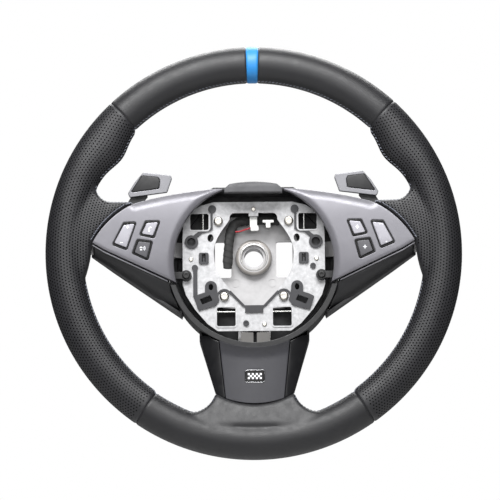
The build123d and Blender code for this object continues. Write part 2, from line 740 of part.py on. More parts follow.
def lower_spoke_rear_cover():
    """Black shell behind the lower spoke, open at the front."""
    side = Polyline((50.2, -70.0), (50.2, -80.0), (36.0, -128.0))
    base = ThreePointArc((36.0, -128.0), (0, -138.5), (-36.0, -128.0))
    rest = Polyline((-36.0, -128.0), (-50.2, -80.0), (-50.2, -70.0), (50.2, -70.0))
    face = make_face(side + base + rest)
    hub = disc(0, WELL_CENTRE_Z, WELL_R + WELL_WALL + HUB_GAP)
    rear = [(-12, -60), (-20, -84), (-33, -112), (-46, -140)]
    deeper = [(y - SHELL_T, z) for y, z in rear]
    outer = Plane.YZ * Polygon(*rear, (-47, -140), (-47, -60), align=None)
    outer = extrude(outer, amount=60, both=True)
    inner = Plane.YZ * Polygon(*deeper, (-60, -140), (-60, -60), align=None)
    inner = extrude(inner, amount=60, both=True)
    body = slab(face - hub, -10, -60) & outer
    hollow = slab(offset(face, amount=-2.2), -10, -70) & inner
    return body - hollow - both(lower_arm(ARM_GAP))


def badge_frame():
    """Black badge frame in the centre panel."""
    outer = rect(*BADGE, *BADGE_FRAME, r=1.8)
    inner = rect(*BADGE, BADGE_INSERT[0] + 0.1, BADGE_INSERT[1] + 0.1, r=0.9)
    return slab(outer, -62.5, LOWER_FACE_Y - 0.9) - slab(inner, BADGE_FLOOR_Y, -80)


def badge_plate():
    """Plain insert of the badge."""
    return slab(rect(*BADGE, *BADGE_INSERT, r=0.8), BADGE_FLOOR_Y, LOWER_FACE_Y - 0.5)


# Paddles -----------------------------------------------------------------------


def paddle_pad_outline():
    """Thumb pad outline, right side."""
    return poly((102.5, 73.9), (87.3, 72.3), (85.8, 69.4), (86.7, 61.8), (113.0, 58.2), r=0.9)


def paddle_frame_right():
    """Silver paddle frame with the pad's pocket."""
    outline = poly((101.1, 77.0), (75.6, 74.0), (74.9, 71.0), (79.3, 58.2), (113.7, 53.6),
                   (115.4, 57.6), (108.6, 68.4), r=1.2)
    body = slab(outline, *PADDLE_Y)
    body = fillet(body.faces().sort_by(Axis.Y)[0].edges(), 0.7)
    return body - slab(paddle_pad_outline(), PADDLE_Y[1] + PAD_POCKET, -60)


def paddle_pad_right():
    """Black thumb pad that fills the frame's pocket."""
    pad = slab(paddle_pad_outline(), PADDLE_Y[1] + PAD_POCKET, PADDLE_Y[1] - PAD_PROUD)
    return fillet(pad.faces().sort_by(Axis.Y)[0].edges(), 0.6)


def paddle_lever_right():
    """Black lever from the pivot to the back of the paddle."""
    stem = poly((97.5, 66.0), (97.5, 54.6), (107.0, 44.5), (LEVER_X[0], PIVOT_Z),
                (LEVER_X[1], PIVOT_Z), (120.5, 42.0), (112.5, 54.8), (108.0, 64.0), r=0.8)
    arm = slab(stem, -37.6, PADDLE_Y[0])
    hub = rod_x(*LEVER_X, PIVOT_Y, PIVOT_Z, LEVER_HUB_R)
    return arm + hub - rod_x(90, 140, PIVOT_Y, PIVOT_Z, PIN_R + PIN_CLEARANCE)


def paddle_bracket_right():
    """Steel fork on the arm that carries the paddle's pin."""
    left, right = LEVER_X[0] - EAR_GAP - EAR_T, LEVER_X[1] + EAR_GAP + EAR_T
    base = block(left, right, -44.5, -36, ARM_Z[1], ARM_Z[1] + 2.4)
    body = base
    for start in (left, right - EAR_T):
        ear = slab(rect(start + EAR_T / 2, 22.5, EAR_T, 17.0), -35.4, -44.6)
        body = body + ear
    body = body - side_arm()
    return body - rod_x(90, 140, PIVOT_Y, PIVOT_Z, PIN_R)


def paddle_pins():
    """Two pivot pins, held in the forks."""
    left, right = LEVER_X[0] - EAR_GAP - EAR_T, LEVER_X[1] + EAR_GAP + EAR_T
    return both(rod_x(left - 0.6, right + 0.6, PIVOT_Y, PIVOT_Z, PIN_R))


# Wiring ------------------------------------------------------------------------


def harness():
    """Taped wire bundle that crosses the hub and runs down beside the boss."""
    path = FilletPolyline((24, -25.5, 34.0), (-13, -25.5, 36.6), (-23.4, -29.5, 23),
                          (-24.2, -29.5, -11), radius=11)
    return sweep(Plane(origin=path @ 0, z_dir=path % 0) * Circle(HARNESS_R), path=path)


def red_wire():
    """Thin lead from the bundle to the white connector."""
    path = FilletPolyline((-17.4, -30.3, 23.2), (-13.8, -31.2, 22.8), (-8.2, -32.6, 24.6),
                          (-2.9, -33.6, 26.0), radius=3)
    return sweep(Plane(origin=path @ 0, z_dir=path % 0) * Circle(RED_WIRE_R), path=path)


def white_connector():
    """White spade connector that hangs from the plate's tongue."""
    strap = slab(rect(0, 31.2, 6.6, 9.6, r=0.8), -32.6, -36.2)
    return strap + slab(rect(1.0, 25.6, 7.2, 4.6, r=0.9), -31.6, -36.8)


def retainer_clip():
    """Small metal clip that reaches from the floor over the bundle."""
    leg = slab(rect(13.5, 27.6, 4.0, 1.4), FLOOR_Y[1], -31.8)
    return leg + slab(rect(13.5, 30.2, 4.0, 6.6) + rect(13.5, 32.6, 10.0, 2.2, r=0.5), -30.9, -31.8)


# Export ------------------------------------------------------------------------


def both_sides(name, build):
    """Two nodes: the right-hand part and its mirror image."""
    right = build()
    return {name + "_right": right, name + "_left": mirrored(right)}


def main():
    """Build every node and write its STEP file."""
    nodes = {
        "armature": armature(),
        "rim_core": rim_core(),
        "rim_foam": rim_foam(),
        "leather_centre_stripe": leather_centre_stripe(),
        "leather_bottom": leather_bottom(),
        "rear_cover": rear_cover(),
        "hub_shroud": hub_shroud(),
        "top_pad": top_pad(),
        "connector_blocks": connector_blocks(),
        "airbag_plate": airbag_plate(),
        "insulator_lower": insulator_lower(),
        "airbag_guides": airbag_guides(),
        "plate_plugs": plate_plugs(),
        "plate_rivets": plate_rivets(),
        "plate_screws": plate_screws(),
        "trim_screws": trim_screws(),
        "latch_wire_lower": latch_wire_lower(),
        "lower_spoke_cover": lower_spoke_cover(),
        "lower_spoke_flanks": lower_spoke_flanks(),
        "lower_spoke_rear_cover": lower_spoke_rear_cover(),
        "badge_frame": badge_frame(),
        "badge_plate": badge_plate(),
        "paddle_pins": paddle_pins(),
        "harness": harness(),
        "red_wire": red_wire(),
        "white_connector": white_connector(),
        "retainer_clip": retainer_clip(),
    }
    paired = {
        "leather_top": leather_top_right,
        "leather_grip": leather_grip_right,
        "insulator_upper": insulator_upper_right,
        "latch_wire": latch_wire_right,
        "spoke_trim": spoke_trim_right,
        "button_bezels": button_bezels_right,
        "switch_housing": switch_housing_right,
        "undercover": undercover_right,
        "spoke_rear_cover": spoke_rear_cover_right,
        "paddle_frame": paddle_frame_right,
        "paddle_pad": paddle_pad_right,
        "paddle_lever": paddle_lever_right,
        "paddle_bracket": paddle_bracket_right,
        "rocker": rocker_right,
        "button_upper": lambda: control_cap(BUTTON_UPPER),
        "button_lower": lambda: control_cap(BUTTON_LOWER),
    }
    for name, build in paired.items():
        nodes.update(both_sides(name, build))
    os.makedirs("parts", exist_ok=True)
    for name, shape in nodes.items():
        export_step(shape, f"parts/{name}.step")
        box = shape.bounding_box()
        print(name, len(shape.solids()), "solids", box.min, box.max)


if __name__ == "__main__":
    main()
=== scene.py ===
"""Looks of a leather-bound car steering wheel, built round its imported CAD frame.

Everything is in metres: +X to the driver's right, +Y away from the driver along the
column, +Z to twelve o'clock, with the origin at the rear face of the hub boss.
"""

import logging
import math
from dataclasses import dataclass, field
from enum import Enum
from typing import Callable, Iterable, Sequence

import bmesh
import bpy
import numpy as np
from mathutils import Matrix, Vector
from mathutils.bvhtree import BVHTree


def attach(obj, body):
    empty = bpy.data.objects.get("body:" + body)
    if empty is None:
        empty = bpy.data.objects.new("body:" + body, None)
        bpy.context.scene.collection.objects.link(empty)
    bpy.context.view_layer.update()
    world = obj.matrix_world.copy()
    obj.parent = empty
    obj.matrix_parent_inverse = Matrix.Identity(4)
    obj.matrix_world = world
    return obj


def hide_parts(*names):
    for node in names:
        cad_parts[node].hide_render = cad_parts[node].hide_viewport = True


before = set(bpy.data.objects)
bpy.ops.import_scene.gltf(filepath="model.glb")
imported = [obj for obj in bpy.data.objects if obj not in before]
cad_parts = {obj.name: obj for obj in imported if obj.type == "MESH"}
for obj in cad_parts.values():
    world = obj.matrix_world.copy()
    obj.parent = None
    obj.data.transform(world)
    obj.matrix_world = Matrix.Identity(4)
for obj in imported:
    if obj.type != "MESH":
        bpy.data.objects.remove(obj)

LOG = logging.getLogger("wheel")
MM = 0.001
ROOT_BODY = "wheel"
Point = tuple[float, float]
Colour = tuple[float, float, float]
Spot = tuple[Vector, Vector, Vector]  # position, normal and direction
Surface = Callable[[np.ndarray, np.ndarray], np.ndarray]  # depth at x and z


# Finishes ----------------------------------------------------------------------


class Grain(Enum):
    """Kinds of surface relief a finish can carry."""

    LEATHER = "leather"
    PAINT = "paint"
    MOULDED = "moulded"
    CAST = "cast"
    ZINC = "zinc"
    TAPE = "tape"
    TURNED = "turned"


@dataclass(frozen=True)
class Finish:
    """A surface finish of one of the wheel's materials.

    Args:
        name: the material's name.
        colour: linear base colour.
        roughness: middle roughness.
        metallic: 0 for paint, leather and plastic, 1 for bare metal.
        grain: kind of relief.
        grain_size: size of one grain in metres.
        relief: height of the relief in metres.
        tone: share by which the colour varies.
        coat: strength of a clear top layer.
        sheen: strength of the soft edge glow.
        gloss: strength of the clear reflection.
    """

    name: str
    colour: Colour
    roughness: float
    metallic: float = 0.0
    grain: Grain = Grain.MOULDED
    grain_size: float = 0.0006
    relief: float = 0.00002
    tone: float = 0.12
    coat: float = 0.0
    sheen: float = 0.0
    gloss: float = 0.5

    def material(self) -> bpy.types.Material:
        """Give the finish's material, made the first time it is asked for."""
        found = bpy.data.materials.get(self.name)
        return found or FinishBuilder(self).build()


class FinishBuilder:
    """Builds the node tree of one finish."""

    def __init__(self, finish: Finish) -> None:
        """Open an empty node tree for the finish.

        Args:
            finish: the finish to build.
        """
        self.finish = finish
        self.material = bpy.data.materials.new(finish.name)
        self.material.use_nodes = True
        self.tree = self.material.node_tree
        self.shader = self.tree.nodes["Principled BSDF"]
        self.coords = self.tree.nodes.new("ShaderNodeTexCoord").outputs["Object"]

    def node(self, kind: str, inputs: dict | None = None, **settings: object) -> bpy.types.Node:
        """Add a node.

        Args:
            kind: the node's class name.
            inputs: value or output socket for each input, by name or number.
            **settings: properties set on the node itself.

        Returns:
            The new node.
        """
        made = self.tree.nodes.new(kind)
        for key, value in settings.items():
            setattr(made, key, value)
        for key, value in (inputs or {}).items():
            if isinstance(value, bpy.types.NodeSocket):
                self.tree.links.new(value, made.inputs[key])
            else:
                made.inputs[key].default_value = value
        return made

    def noise(self, size: float, detail: float = 4.0, rough: float = 0.55) -> bpy.types.NodeSocket:
        """Noise output with features of about the given size.

        Args:
            size: feature size in metres.
            detail: number of finer layers.
            rough: weight of the finer layers.

        Returns:
            The noise factor socket.
        """
        inputs = {"Vector": self.coords, "Scale": 1.0 / size, "Detail": detail, "Roughness": rough}
        return self.node("ShaderNodeTexNoise", inputs).outputs["Fac"]

    def cells(self, size: float, feature: str = "F1") -> bpy.types.NodeSocket:
        """Voronoi output with cells of about the given size.

        Args:
            size: cell size in metres.
            feature: Voronoi feature name.

        Returns:
            The distance socket.
        """
        inputs = {"Vector": self.coords, "Scale": 1.0 / size}
        made = self.node("ShaderNodeTexVoronoi", inputs, feature=feature)
        return made.outputs["Distance"]

    def remap(self, source: bpy.types.NodeSocket, low: float, high: float,
              from_low: float = 0.3, from_high: float = 0.7) -> bpy.types.NodeSocket:
        """Stretch a factor to a new range.

        Args:
            source: factor to stretch.
            low: value given at from_low.
            high: value given at from_high.
            from_low: lower end of the source range.
            from_high: upper end of the source range.

        Returns:
            The stretched value.
        """
        inputs = {"Value": source, 1: from_low, 2: from_high, 3: low, 4: high}
        return self.node("ShaderNodeMapRange", inputs).outputs["Result"]

    def tinted(self, factor: bpy.types.NodeSocket, dark: Colour,
               light: Colour) -> bpy.types.NodeSocket:
        """Mix two colours by a factor.

        Args:
            factor: mixing factor.
            dark: colour at 0.
            light: colour at 1.

        Returns:
            The mixed colour.
        """
        made = self.node("ShaderNodeMix", data_type="RGBA")
        self.tree.links.new(factor, made.inputs["Factor"])
        made.inputs[6].default_value = (*dark, 1.0)
        made.inputs[7].default_value = (*light, 1.0)
        return made.outputs[2]

    def plus(self, first: bpy.types.NodeSocket,
             second: bpy.types.NodeSocket) -> bpy.types.NodeSocket:
        """Sum of two factors."""
        return self.node("ShaderNodeMath", {0: first, 1: second}, operation="ADD").outputs[0]

    def height(self) -> bpy.types.NodeSocket:
        """Relief of the finish's grain, from about 0 to 1.

        Returns:
            The height socket.
        """
        size = self.finish.grain_size
        grain = self.finish.grain
        if grain is Grain.LEATHER:
            creases = self.cells(size, "DISTANCE_TO_EDGE")
            pebbles = self.remap(creases, 0.0, 1.0, 0.0, 0.22)
            pores = self.noise(size * 0.35, 3.0)
            folds = self.noise(size * 14, 3.0)
            return self.plus(self.plus(pebbles, pores), folds)
        if grain is Grain.TAPE:
            inputs = {"Vector": self.coords, "Scale": 0.35 / size, "Distortion": 3.0, "Detail": 2.0}
            weave = self.node("ShaderNodeTexWave", inputs)
            return self.plus(weave.outputs["Fac"], self.noise(size * 6))
        if grain is Grain.ZINC:
            spangle = self.cells(size)
            fine = self.noise(size * 0.2, 6.0, 0.7)
            return self.plus(spangle, fine)
        if grain is Grain.CAST:
            return self.noise(size, 8.0, 0.7)
        return self.noise(size, 4.0)

    def build(self) -> bpy.types.Material:
        """Wire colour, roughness and relief into the shader.

        Returns:
            The finished material.
        """
        look = self.finish
        mottle_size = 0.004 if look.grain is Grain.ZINC else 0.022
        mottle = self.remap(self.noise(mottle_size, 6.0, 0.65), 0.0, 1.0)
        dark = tuple(c * (1 - look.tone) for c in look.colour)
        light = tuple(min(1.0, c * (1 + look.tone)) for c in look.colour)
        colour = self.tinted(mottle, dark, light)
        if look.grain is Grain.ZINC:
            stain = self.remap(self.noise(0.019, 8.0, 0.7), 0.0, 0.45, 0.5, 0.78)
            made = self.node("ShaderNodeMix", {"Factor": stain}, data_type="RGBA")
            self.tree.links.new(colour, made.inputs[6])
            made.inputs[7].default_value = (*(c * 0.62 for c in look.colour), 1.0)
            colour = made.outputs[2]
        self.tree.links.new(colour, self.shader.inputs["Base Color"])
        swing = 0.06 if look.grain in (Grain.LEATHER, Grain.PAINT) else 0.1
        rough = self.remap(self.noise(0.006, 5.0), look.roughness - swing, look.roughness + swing)
        self.tree.links.new(rough, self.shader.inputs["Roughness"])
        bump = self.node("ShaderNodeBump", {"Height": self.height(), "Distance": look.relief})
        bump.inputs["Strength"].default_value = 1.0
        self.tree.links.new(bump.outputs["Normal"], self.shader.inputs["Normal"])
        self.shader.inputs["Metallic"].default_value = look.metallic
        self.shader.inputs["Specular IOR Level"].default_value = look.gloss
        self.shader.inputs["Coat Weight"].default_value = look.coat
        self.shader.inputs["Coat Roughness"].default_value = 0.25
        self.shader.inputs["Sheen Weight"].default_value = look.sheen
        self.shader.inputs["Sheen Roughness"].default_value = 0.4
        return self.material


LEATHER = Finish("smooth_leather", (0.014, 0.014, 0.0155), 0.45, grain=Grain.LEATHER,
                 grain_size=0.0008, relief=0.000028, tone=0.10, sheen=0.02, gloss=0.42)
GRIP_LEATHER = Finish("grip_leather", (0.015, 0.015, 0.017), 0.47, grain=Grain.LEATHER,
                      grain_size=0.0008, relief=0.000035, tone=0.12, sheen=0.02, gloss=0.45)
BLUE_LEATHER = Finish("blue_leather", (0.012, 0.19, 0.50), 0.45, grain=Grain.LEATHER,
                      grain_size=0.0008, relief=0.000028, tone=0.08)
# Painted shade: flat black discs stand for the punched holes, whose insides fall into shade.
PUNCHED_SHADE = Finish("punched_hole_painted_shade", (0.001, 0.001, 0.001), 0.9, relief=0.00001, gloss=0.0)
THREAD = Finish("grey_thread", (0.17, 0.18, 0.22), 0.6, grain=Grain.TAPE, grain_size=0.0003,
                relief=0.00005, tone=0.25, sheen=0.3)
SATIN_SILVER = Finish("satin_silver_paint", (0.172, 0.169, 0.187), 0.40, 0.35, Grain.PAINT,
                      grain_size=0.0002, relief=0.0000015, tone=0.05, coat=0.15)
CAP_SILVER = Finish("cap_silver_paint", (0.31, 0.305, 0.335), 0.36, 0.35, Grain.PAINT,
                    grain_size=0.0002, relief=0.0000015, tone=0.05, coat=0.15)
LOWER_CAP = Finish("lower_cap_paint", (0.085, 0.084, 0.092), 0.38, 0.3, Grain.PAINT,
                   grain_size=0.0002, relief=0.0000015, tone=0.05, coat=0.1)
PADDLE_SILVER = Finish("paddle_silver_paint", (0.20, 0.20, 0.215), 0.34, 0.42, Grain.PAINT,
                       grain_size=0.0002, relief=0.0000015, tone=0.05, coat=0.25)
PANEL_GREY = Finish("satin_panel_paint", (0.040, 0.040, 0.046), 0.42, 0.12, Grain.PAINT,
                    grain_size=0.0003, relief=0.000003, tone=0.08)
FLANK_BLACK = Finish("flank_black_paint", (0.006, 0.006, 0.007), 0.40, 0.0, Grain.PAINT,
                     grain_size=0.0003, relief=0.000003, tone=0.1)
BEZEL_BLACK = Finish("bezel_black", (0.003, 0.003, 0.003), 0.30, grain_size=0.0004,
                     relief=0.000004, tone=0.1, gloss=0.25)
BLACK_PLASTIC = Finish("black_moulding", (0.010, 0.010, 0.011), 0.5, grain_size=0.0004,
                       relief=0.00002, tone=0.18)
COVER_PLASTIC = Finish("cover_moulding", (0.014, 0.014, 0.016), 0.55, grain_size=0.0007,
                       relief=0.00005, tone=0.2)
DARK_PLASTIC = Finish("dark_insulator", (0.026, 0.026, 0.030), 0.5, grain_size=0.0006,
                      relief=0.00002, tone=0.18)
PAD_PLASTIC = Finish("grained_pad", (0.075, 0.075, 0.080), 0.6, grain_size=0.0009,
                     relief=0.0001, tone=0.2)
PLUG_PLASTIC = Finish("plug_moulding", (0.115, 0.11, 0.105), 0.5, grain_size=0.0008,
                      relief=0.00002, tone=0.12)
WHITE_PLASTIC = Finish("white_moulding", (0.78, 0.78, 0.76), 0.42, grain_size=0.0008,
                       relief=0.00001, tone=0.05)
ZINC = Finish("galvanised_sheet", (0.46, 0.46, 0.47), 0.5, 0.3, Grain.ZINC, grain_size=0.0030,
              relief=0.00004, tone=0.22)
CAST_ALLOY = Finish("alloy_casting", (0.45, 0.445, 0.45), 0.58, 0.3, Grain.CAST, grain_size=0.0016,
                    relief=0.00008, tone=0.14)
NICKEL = Finish("nickel_screw", (0.50, 0.48, 0.44), 0.3, 0.95, Grain.TURNED, grain_size=0.0009,
                relief=0.00001, tone=0.12)
STEEL = Finish("spring_steel", (0.62, 0.62, 0.60), 0.28, 0.95, Grain.TURNED, grain_size=0.0008,
               relief=0.00001, tone=0.12)
BLACK_SCREW = Finish("black_screw", (0.018, 0.018, 0.018), 0.38, 0.3, Grain.TURNED,
                     grain_size=0.0008, relief=0.00001, tone=0.2)
# Brownish steel of the boss's outer ring. It is darker than the inner ring partly as painted shade
# of the groove.
BUSH_BROWN_AND_SHADE = Finish("bush_steel_and_shade", (0.36, 0.34, 0.32), 0.42, 0.35, Grain.TURNED, grain_size=0.0009,
                    relief=0.00002, tone=0.22)
BUSH_BRIGHT = Finish("bush_bright", (0.46, 0.45, 0.44), 0.32, 0.8, Grain.TURNED, grain_size=0.0009,
                     relief=0.00001, tone=0.12)
CHROME = Finish("bright_chrome", (0.62, 0.62, 0.64), 0.12, 1.0, Grain.TURNED, grain_size=0.002,
                relief=0.000004, tone=0.05)
TAPE = Finish("cloth_tape", (0.020, 0.020, 0.020), 0.7, grain=Grain.TAPE, grain_size=0.0011,
              relief=0.00016, tone=0.3, sheen=0.1)
RED_WIRE = Finish("red_sleeve", (0.42, 0.012, 0.025), 0.35, grain_size=0.002,
                  relief=0.000004, tone=0.1)
ICON_WHITE = Finish("icon_white", (0.86, 0.87, 0.90), 0.45, grain_size=0.0006,
                    relief=0.000003, tone=0.04)


# Shared geometry ----------------------------------------------------------------


def arc(start: Point, through: Point, end: Point, count: int = 12) -> list[Point]:
    """Points on the arc through three points, without its end point.

    Args:
        start: first point.
        through: a point between.
        end: last point.
        count: number of steps.

    Returns:
        The points from start up to, and without, end.
    """
    ax, ay = start
    bx, by = through
    cx, cy = end
    d = 2 * (ax * (by - cy) + bx * (cy - ay) + cx * (ay - by))
    a2, b2, c2 = ax**2 + ay**2, bx**2 + by**2, cx**2 + cy**2
    ux = (a2 * (by - cy) + b2 * (cy - ay) + c2 * (ay - by)) / d
    uy = (a2 * (cx - bx) + b2 * (ax - cx) + c2 * (bx - ax)) / d
    radius = math.hypot(ax - ux, ay - uy)
    first, middle, last = (math.atan2(y - uy, x - ux) for x, y in (start, through, end))
    turn = math.tau
    ccw = (middle - first) % turn < (last - first) % turn
    sweep = (last - first) % turn if ccw else -((first - last) % turn)
    angles = [first + sweep * i / count for i in range(count)]
    return [(ux + radius * math.cos(a), uy + radius * math.sin(a)) for a in angles]


def rounded(points: Sequence[Point], radius: float, steps: int = 5) -> list[Point]:
    """Polygon with each corner rounded.

    Args:
        points: the corners.
        radius: corner radius.
        steps: points on each corner.

    Returns:
        The rounded outline.
    """
    out: list[Point] = []
    count = len(points)
    for i in range(count):
        here = Vector(points[i])
        before = (Vector(points[i - 1]) - here).normalized()
        after = (Vector(points[(i + 1) % count]) - here).normalized()
        half = before.angle(after) / 2
        reach = radius / math.tan(half)
        centre = here + (before + after).normalized() * (radius / math.sin(half))
        a, b = here + before * reach - centre, here + after * reach - centre
        for k in range(steps + 1):
            spoke = a.lerp(b, k / steps).normalized() * radius
            out.append(tuple(centre + spoke))
    return out


def shrunk(points: Sequence[Point], by: float) -> list[Point]:
    """Polygon with each corner moved towards its middle.

    Args:
        points: the corners.
        by: distance that each corner moves.

    Returns:
        The smaller polygon.
    """
    centre = np.mean(points, axis=0)
    return [tuple(np.array(p) + (centre - p) / np.linalg.norm(centre - p) * by) for p in points]


def segment_distance(x: np.ndarray, z: np.ndarray, line: Sequence[Point]) -> np.ndarray:
    """Distance from points to an open line of segments.

    Args:
        x: point X values.
        z: point Z values.
        line: the line's points.

    Returns:
        The distance for each point.
    """
    best = np.full(x.shape, 1e9)
    for (x0, z0), (x1, z1) in zip(line[:-1], line[1:]):
        dx, dz = x1 - x0, z1 - z0
        t = np.clip(((x - x0) * dx + (z - z0) * dz) / (dx * dx + dz * dz), 0, 1)
        best = np.minimum(best, np.hypot(x - x0 - t * dx, z - z0 - t * dz))
    return best


def inside(x: np.ndarray, z: np.ndarray, outline: Sequence[Point]) -> np.ndarray:
    """Whether points lie in a closed outline.

    Args:
        x: point X values.
        z: point Z values.
        outline: the outline's points.

    Returns:
        True for each point inside.
    """
    hit = np.zeros(x.shape, bool)
    for (x0, z0), (x1, z1) in zip(outline, [*outline[1:], outline[0]]):
        if z0 == z1:
            continue
        crosses = (z0 > z) != (z1 > z)
        hit ^= crosses & (x < (x1 - x0) * (z - z0) / (z1 - z0) + x0)
    return hit


def coordinates(mesh: bpy.types.Mesh) -> np.ndarray:
    """Vertex positions of a mesh as an array.

    Args:
        mesh: the mesh to read.

    Returns:
        One row for each vertex.
    """
    co = np.empty(len(mesh.vertices) * 3)
    mesh.vertices.foreach_get("co", co)
    return co.reshape(-1, 3)


def set_coordinates(mesh: bpy.types.Mesh, co: np.ndarray) -> None:
    """Write vertex positions back to a mesh."""
    mesh.vertices.foreach_set("co", co.astype(np.float32).ravel())
    mesh.update()


def new_object(name: str, mesh: bpy.types.Mesh) -> bpy.types.Object:
    """Put a mesh in the scene as an object at the origin.

    Args:
        name: the object's name.
        mesh: its mesh.

    Returns:
        The new object.
    """
    made = bpy.data.objects.new(name, mesh)
    bpy.context.scene.collection.objects.link(made)
    return made


def shade(mesh: bpy.types.Mesh, angle: float = 38.0) -> None:
    """Shade a mesh smooth, with creases sharper than the angle kept."""
    mesh.shade_smooth()
    mesh.set_sharp_from_angle(angle=math.radians(angle))


def baked(source: bpy.types.Object, name: str) -> bpy.types.Object:
    """Turn an object and its modifiers into a plain mesh object.

    Args:
        source: object to bake, which is removed.
        name: name of the new object.

    Returns:
        The new object.
    """
    graph = bpy.context.evaluated_depsgraph_get()
    mesh = bpy.data.meshes.new_from_object(source.evaluated_get(graph), depsgraph=graph)
    mesh.name = name
    bpy.data.objects.remove(source)
    return new_object(name, mesh)


def dress(piece: bpy.types.Object, finishes: Finish | Sequence[Finish], body: str,
          nodes: Iterable[str] = ()) -> bpy.types.Object:
    """Give a piece its finish, its body and the CAD nodes it stands for.

    Args:
        piece: the finished piece.
        finishes: one finish, or one for each material index.
        body: CAD body that it rides on.
        nodes: CAD nodes that it replaces.

    Returns:
        The piece.
    """
    several = [finishes] if isinstance(finishes, Finish) else list(finishes)
    piece.data.materials.clear()
    for finish in several:
        piece.data.materials.append(finish.material())
    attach(piece, body)
    if nodes:
        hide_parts(*nodes)
    LOG.info("%s: %d faces on %s", piece.name, len(piece.data.polygons), body)
    return piece


@dataclass
class Panel:
    """A moulded panel: an outline in X-Z with thickness along Y.

    Args:
        name: piece name.
        outline: outer outline in millimetres.
        holes: outlines of the openings.
        depth: thickness in millimetres.
        edge: radius of the front edge in millimetres.
        cell: size of the surface grid in millimetres.
        front: depth of the front face at x and z, in millimetres.
        side_material: True when the sides carry the second material.
    """

    name: str
    outline: Sequence[Point]
    depth: float
    edge: float
    front: Surface
    holes: Sequence[Sequence[Point]] = ()
    cell: float = 5.0
    side_material: bool = False

    def build(self) -> bpy.types.Object:
        """Make the panel's mesh.

        Returns:
            The panel, in metres, with its front on the given surface.
        """
        curve = bpy.data.curves.new(self.name, "CURVE")
        curve.dimensions = "2D"
        curve.fill_mode = "BOTH"
        for loop in (self.outline, *self.holes):
            spline = curve.splines.new("POLY")
            spline.points.add(len(loop) - 1)
            for point, (x, z) in zip(spline.points, loop):
                point.co = (x, z, 0, 1)
            spline.use_cyclic_u = True
        curve.extrude = self.depth / 2 - self.edge
        curve.bevel_depth = self.edge
        curve.bevel_resolution = 3
        curve.offset = -self.edge
        solid = baked(bpy.data.objects.new(self.name + "_line", curve), self.name)
        mesh = solid.data
        work = bmesh.new()
        work.from_mesh(mesh)
        bmesh.ops.remove_doubles(work, verts=work.verts, dist=1e-4)
        xs, ys = [v.co.x for v in work.verts], [v.co.y for v in work.verts]
        for low, high, axis in ((min(xs), max(xs), 0), (min(ys), max(ys), 1)):
            for i in range(1, int((high - low) / self.cell) + 1):
                normal = Vector((1, 0, 0)) if axis == 0 else Vector((0, 1, 0))
                at = normal * (low + i * self.cell)
                geometry = [*work.verts, *work.edges, *work.faces]
                bmesh.ops.bisect_plane(work, geom=geometry, plane_co=at, plane_no=normal, dist=1e-5)
        bmesh.ops.triangulate(work, faces=[f for f in work.faces if len(f.verts) > 4])
        bmesh.ops.recalc_face_normals(work, faces=work.faces)
        for face in work.faces:
            face.material_index = int(self.side_material and face.normal.z < 0.55)
        work.to_mesh(mesh)
        work.free()
        co = coordinates(mesh)
        top = co[:, 2].max()
        depth = self.front(co[:, 0], co[:, 1]) + top - co[:, 2]
        placed = np.column_stack([co[:, 0], depth, co[:, 1]])
        set_coordinates(mesh, placed * MM)
        shade(mesh)
        return solid


def flipped(piece: bpy.types.Object, side: int) -> bpy.types.Object:
    """Mirror a right-hand piece to the left when side is -1.

    Args:
        piece: the right-hand piece.
        side: 1 for right, -1 for left.

    Returns:
        The piece.
    """
    if side < 0:
        piece.data.transform(Matrix.Diagonal((-1, 1, 1, 1)))
        piece.data.flip_normals()
    return piece


def soft_edges(node: str, width: float, finish: Finish, angle: float = 35.0) -> None:
    """Dress a carried CAD node and round its edges a little.

    Args:
        node: CAD node name.
        width: edge width in millimetres, or 0 for none.
        finish: its finish.
        angle: smallest edge angle that is rounded.
    """
    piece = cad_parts[node]
    piece.data.materials.clear()
    piece.data.materials.append(finish.material())
    if width:
        weld = piece.modifiers.new("weld", "WELD")
        weld.merge_threshold = 1e-5
        bevel = piece.modifiers.new("edge", "BEVEL")
        bevel.width = width * MM
        bevel.segments = 2
        bevel.limit_method = "ANGLE"
        bevel.angle_limit = math.radians(angle)
        bevel.use_clamp_overlap = True
        bevel.harden_normals = False
    LOG.info("%s: carried over in %s", node, finish.name)


# Rim ---------------------------------------------------------------------------


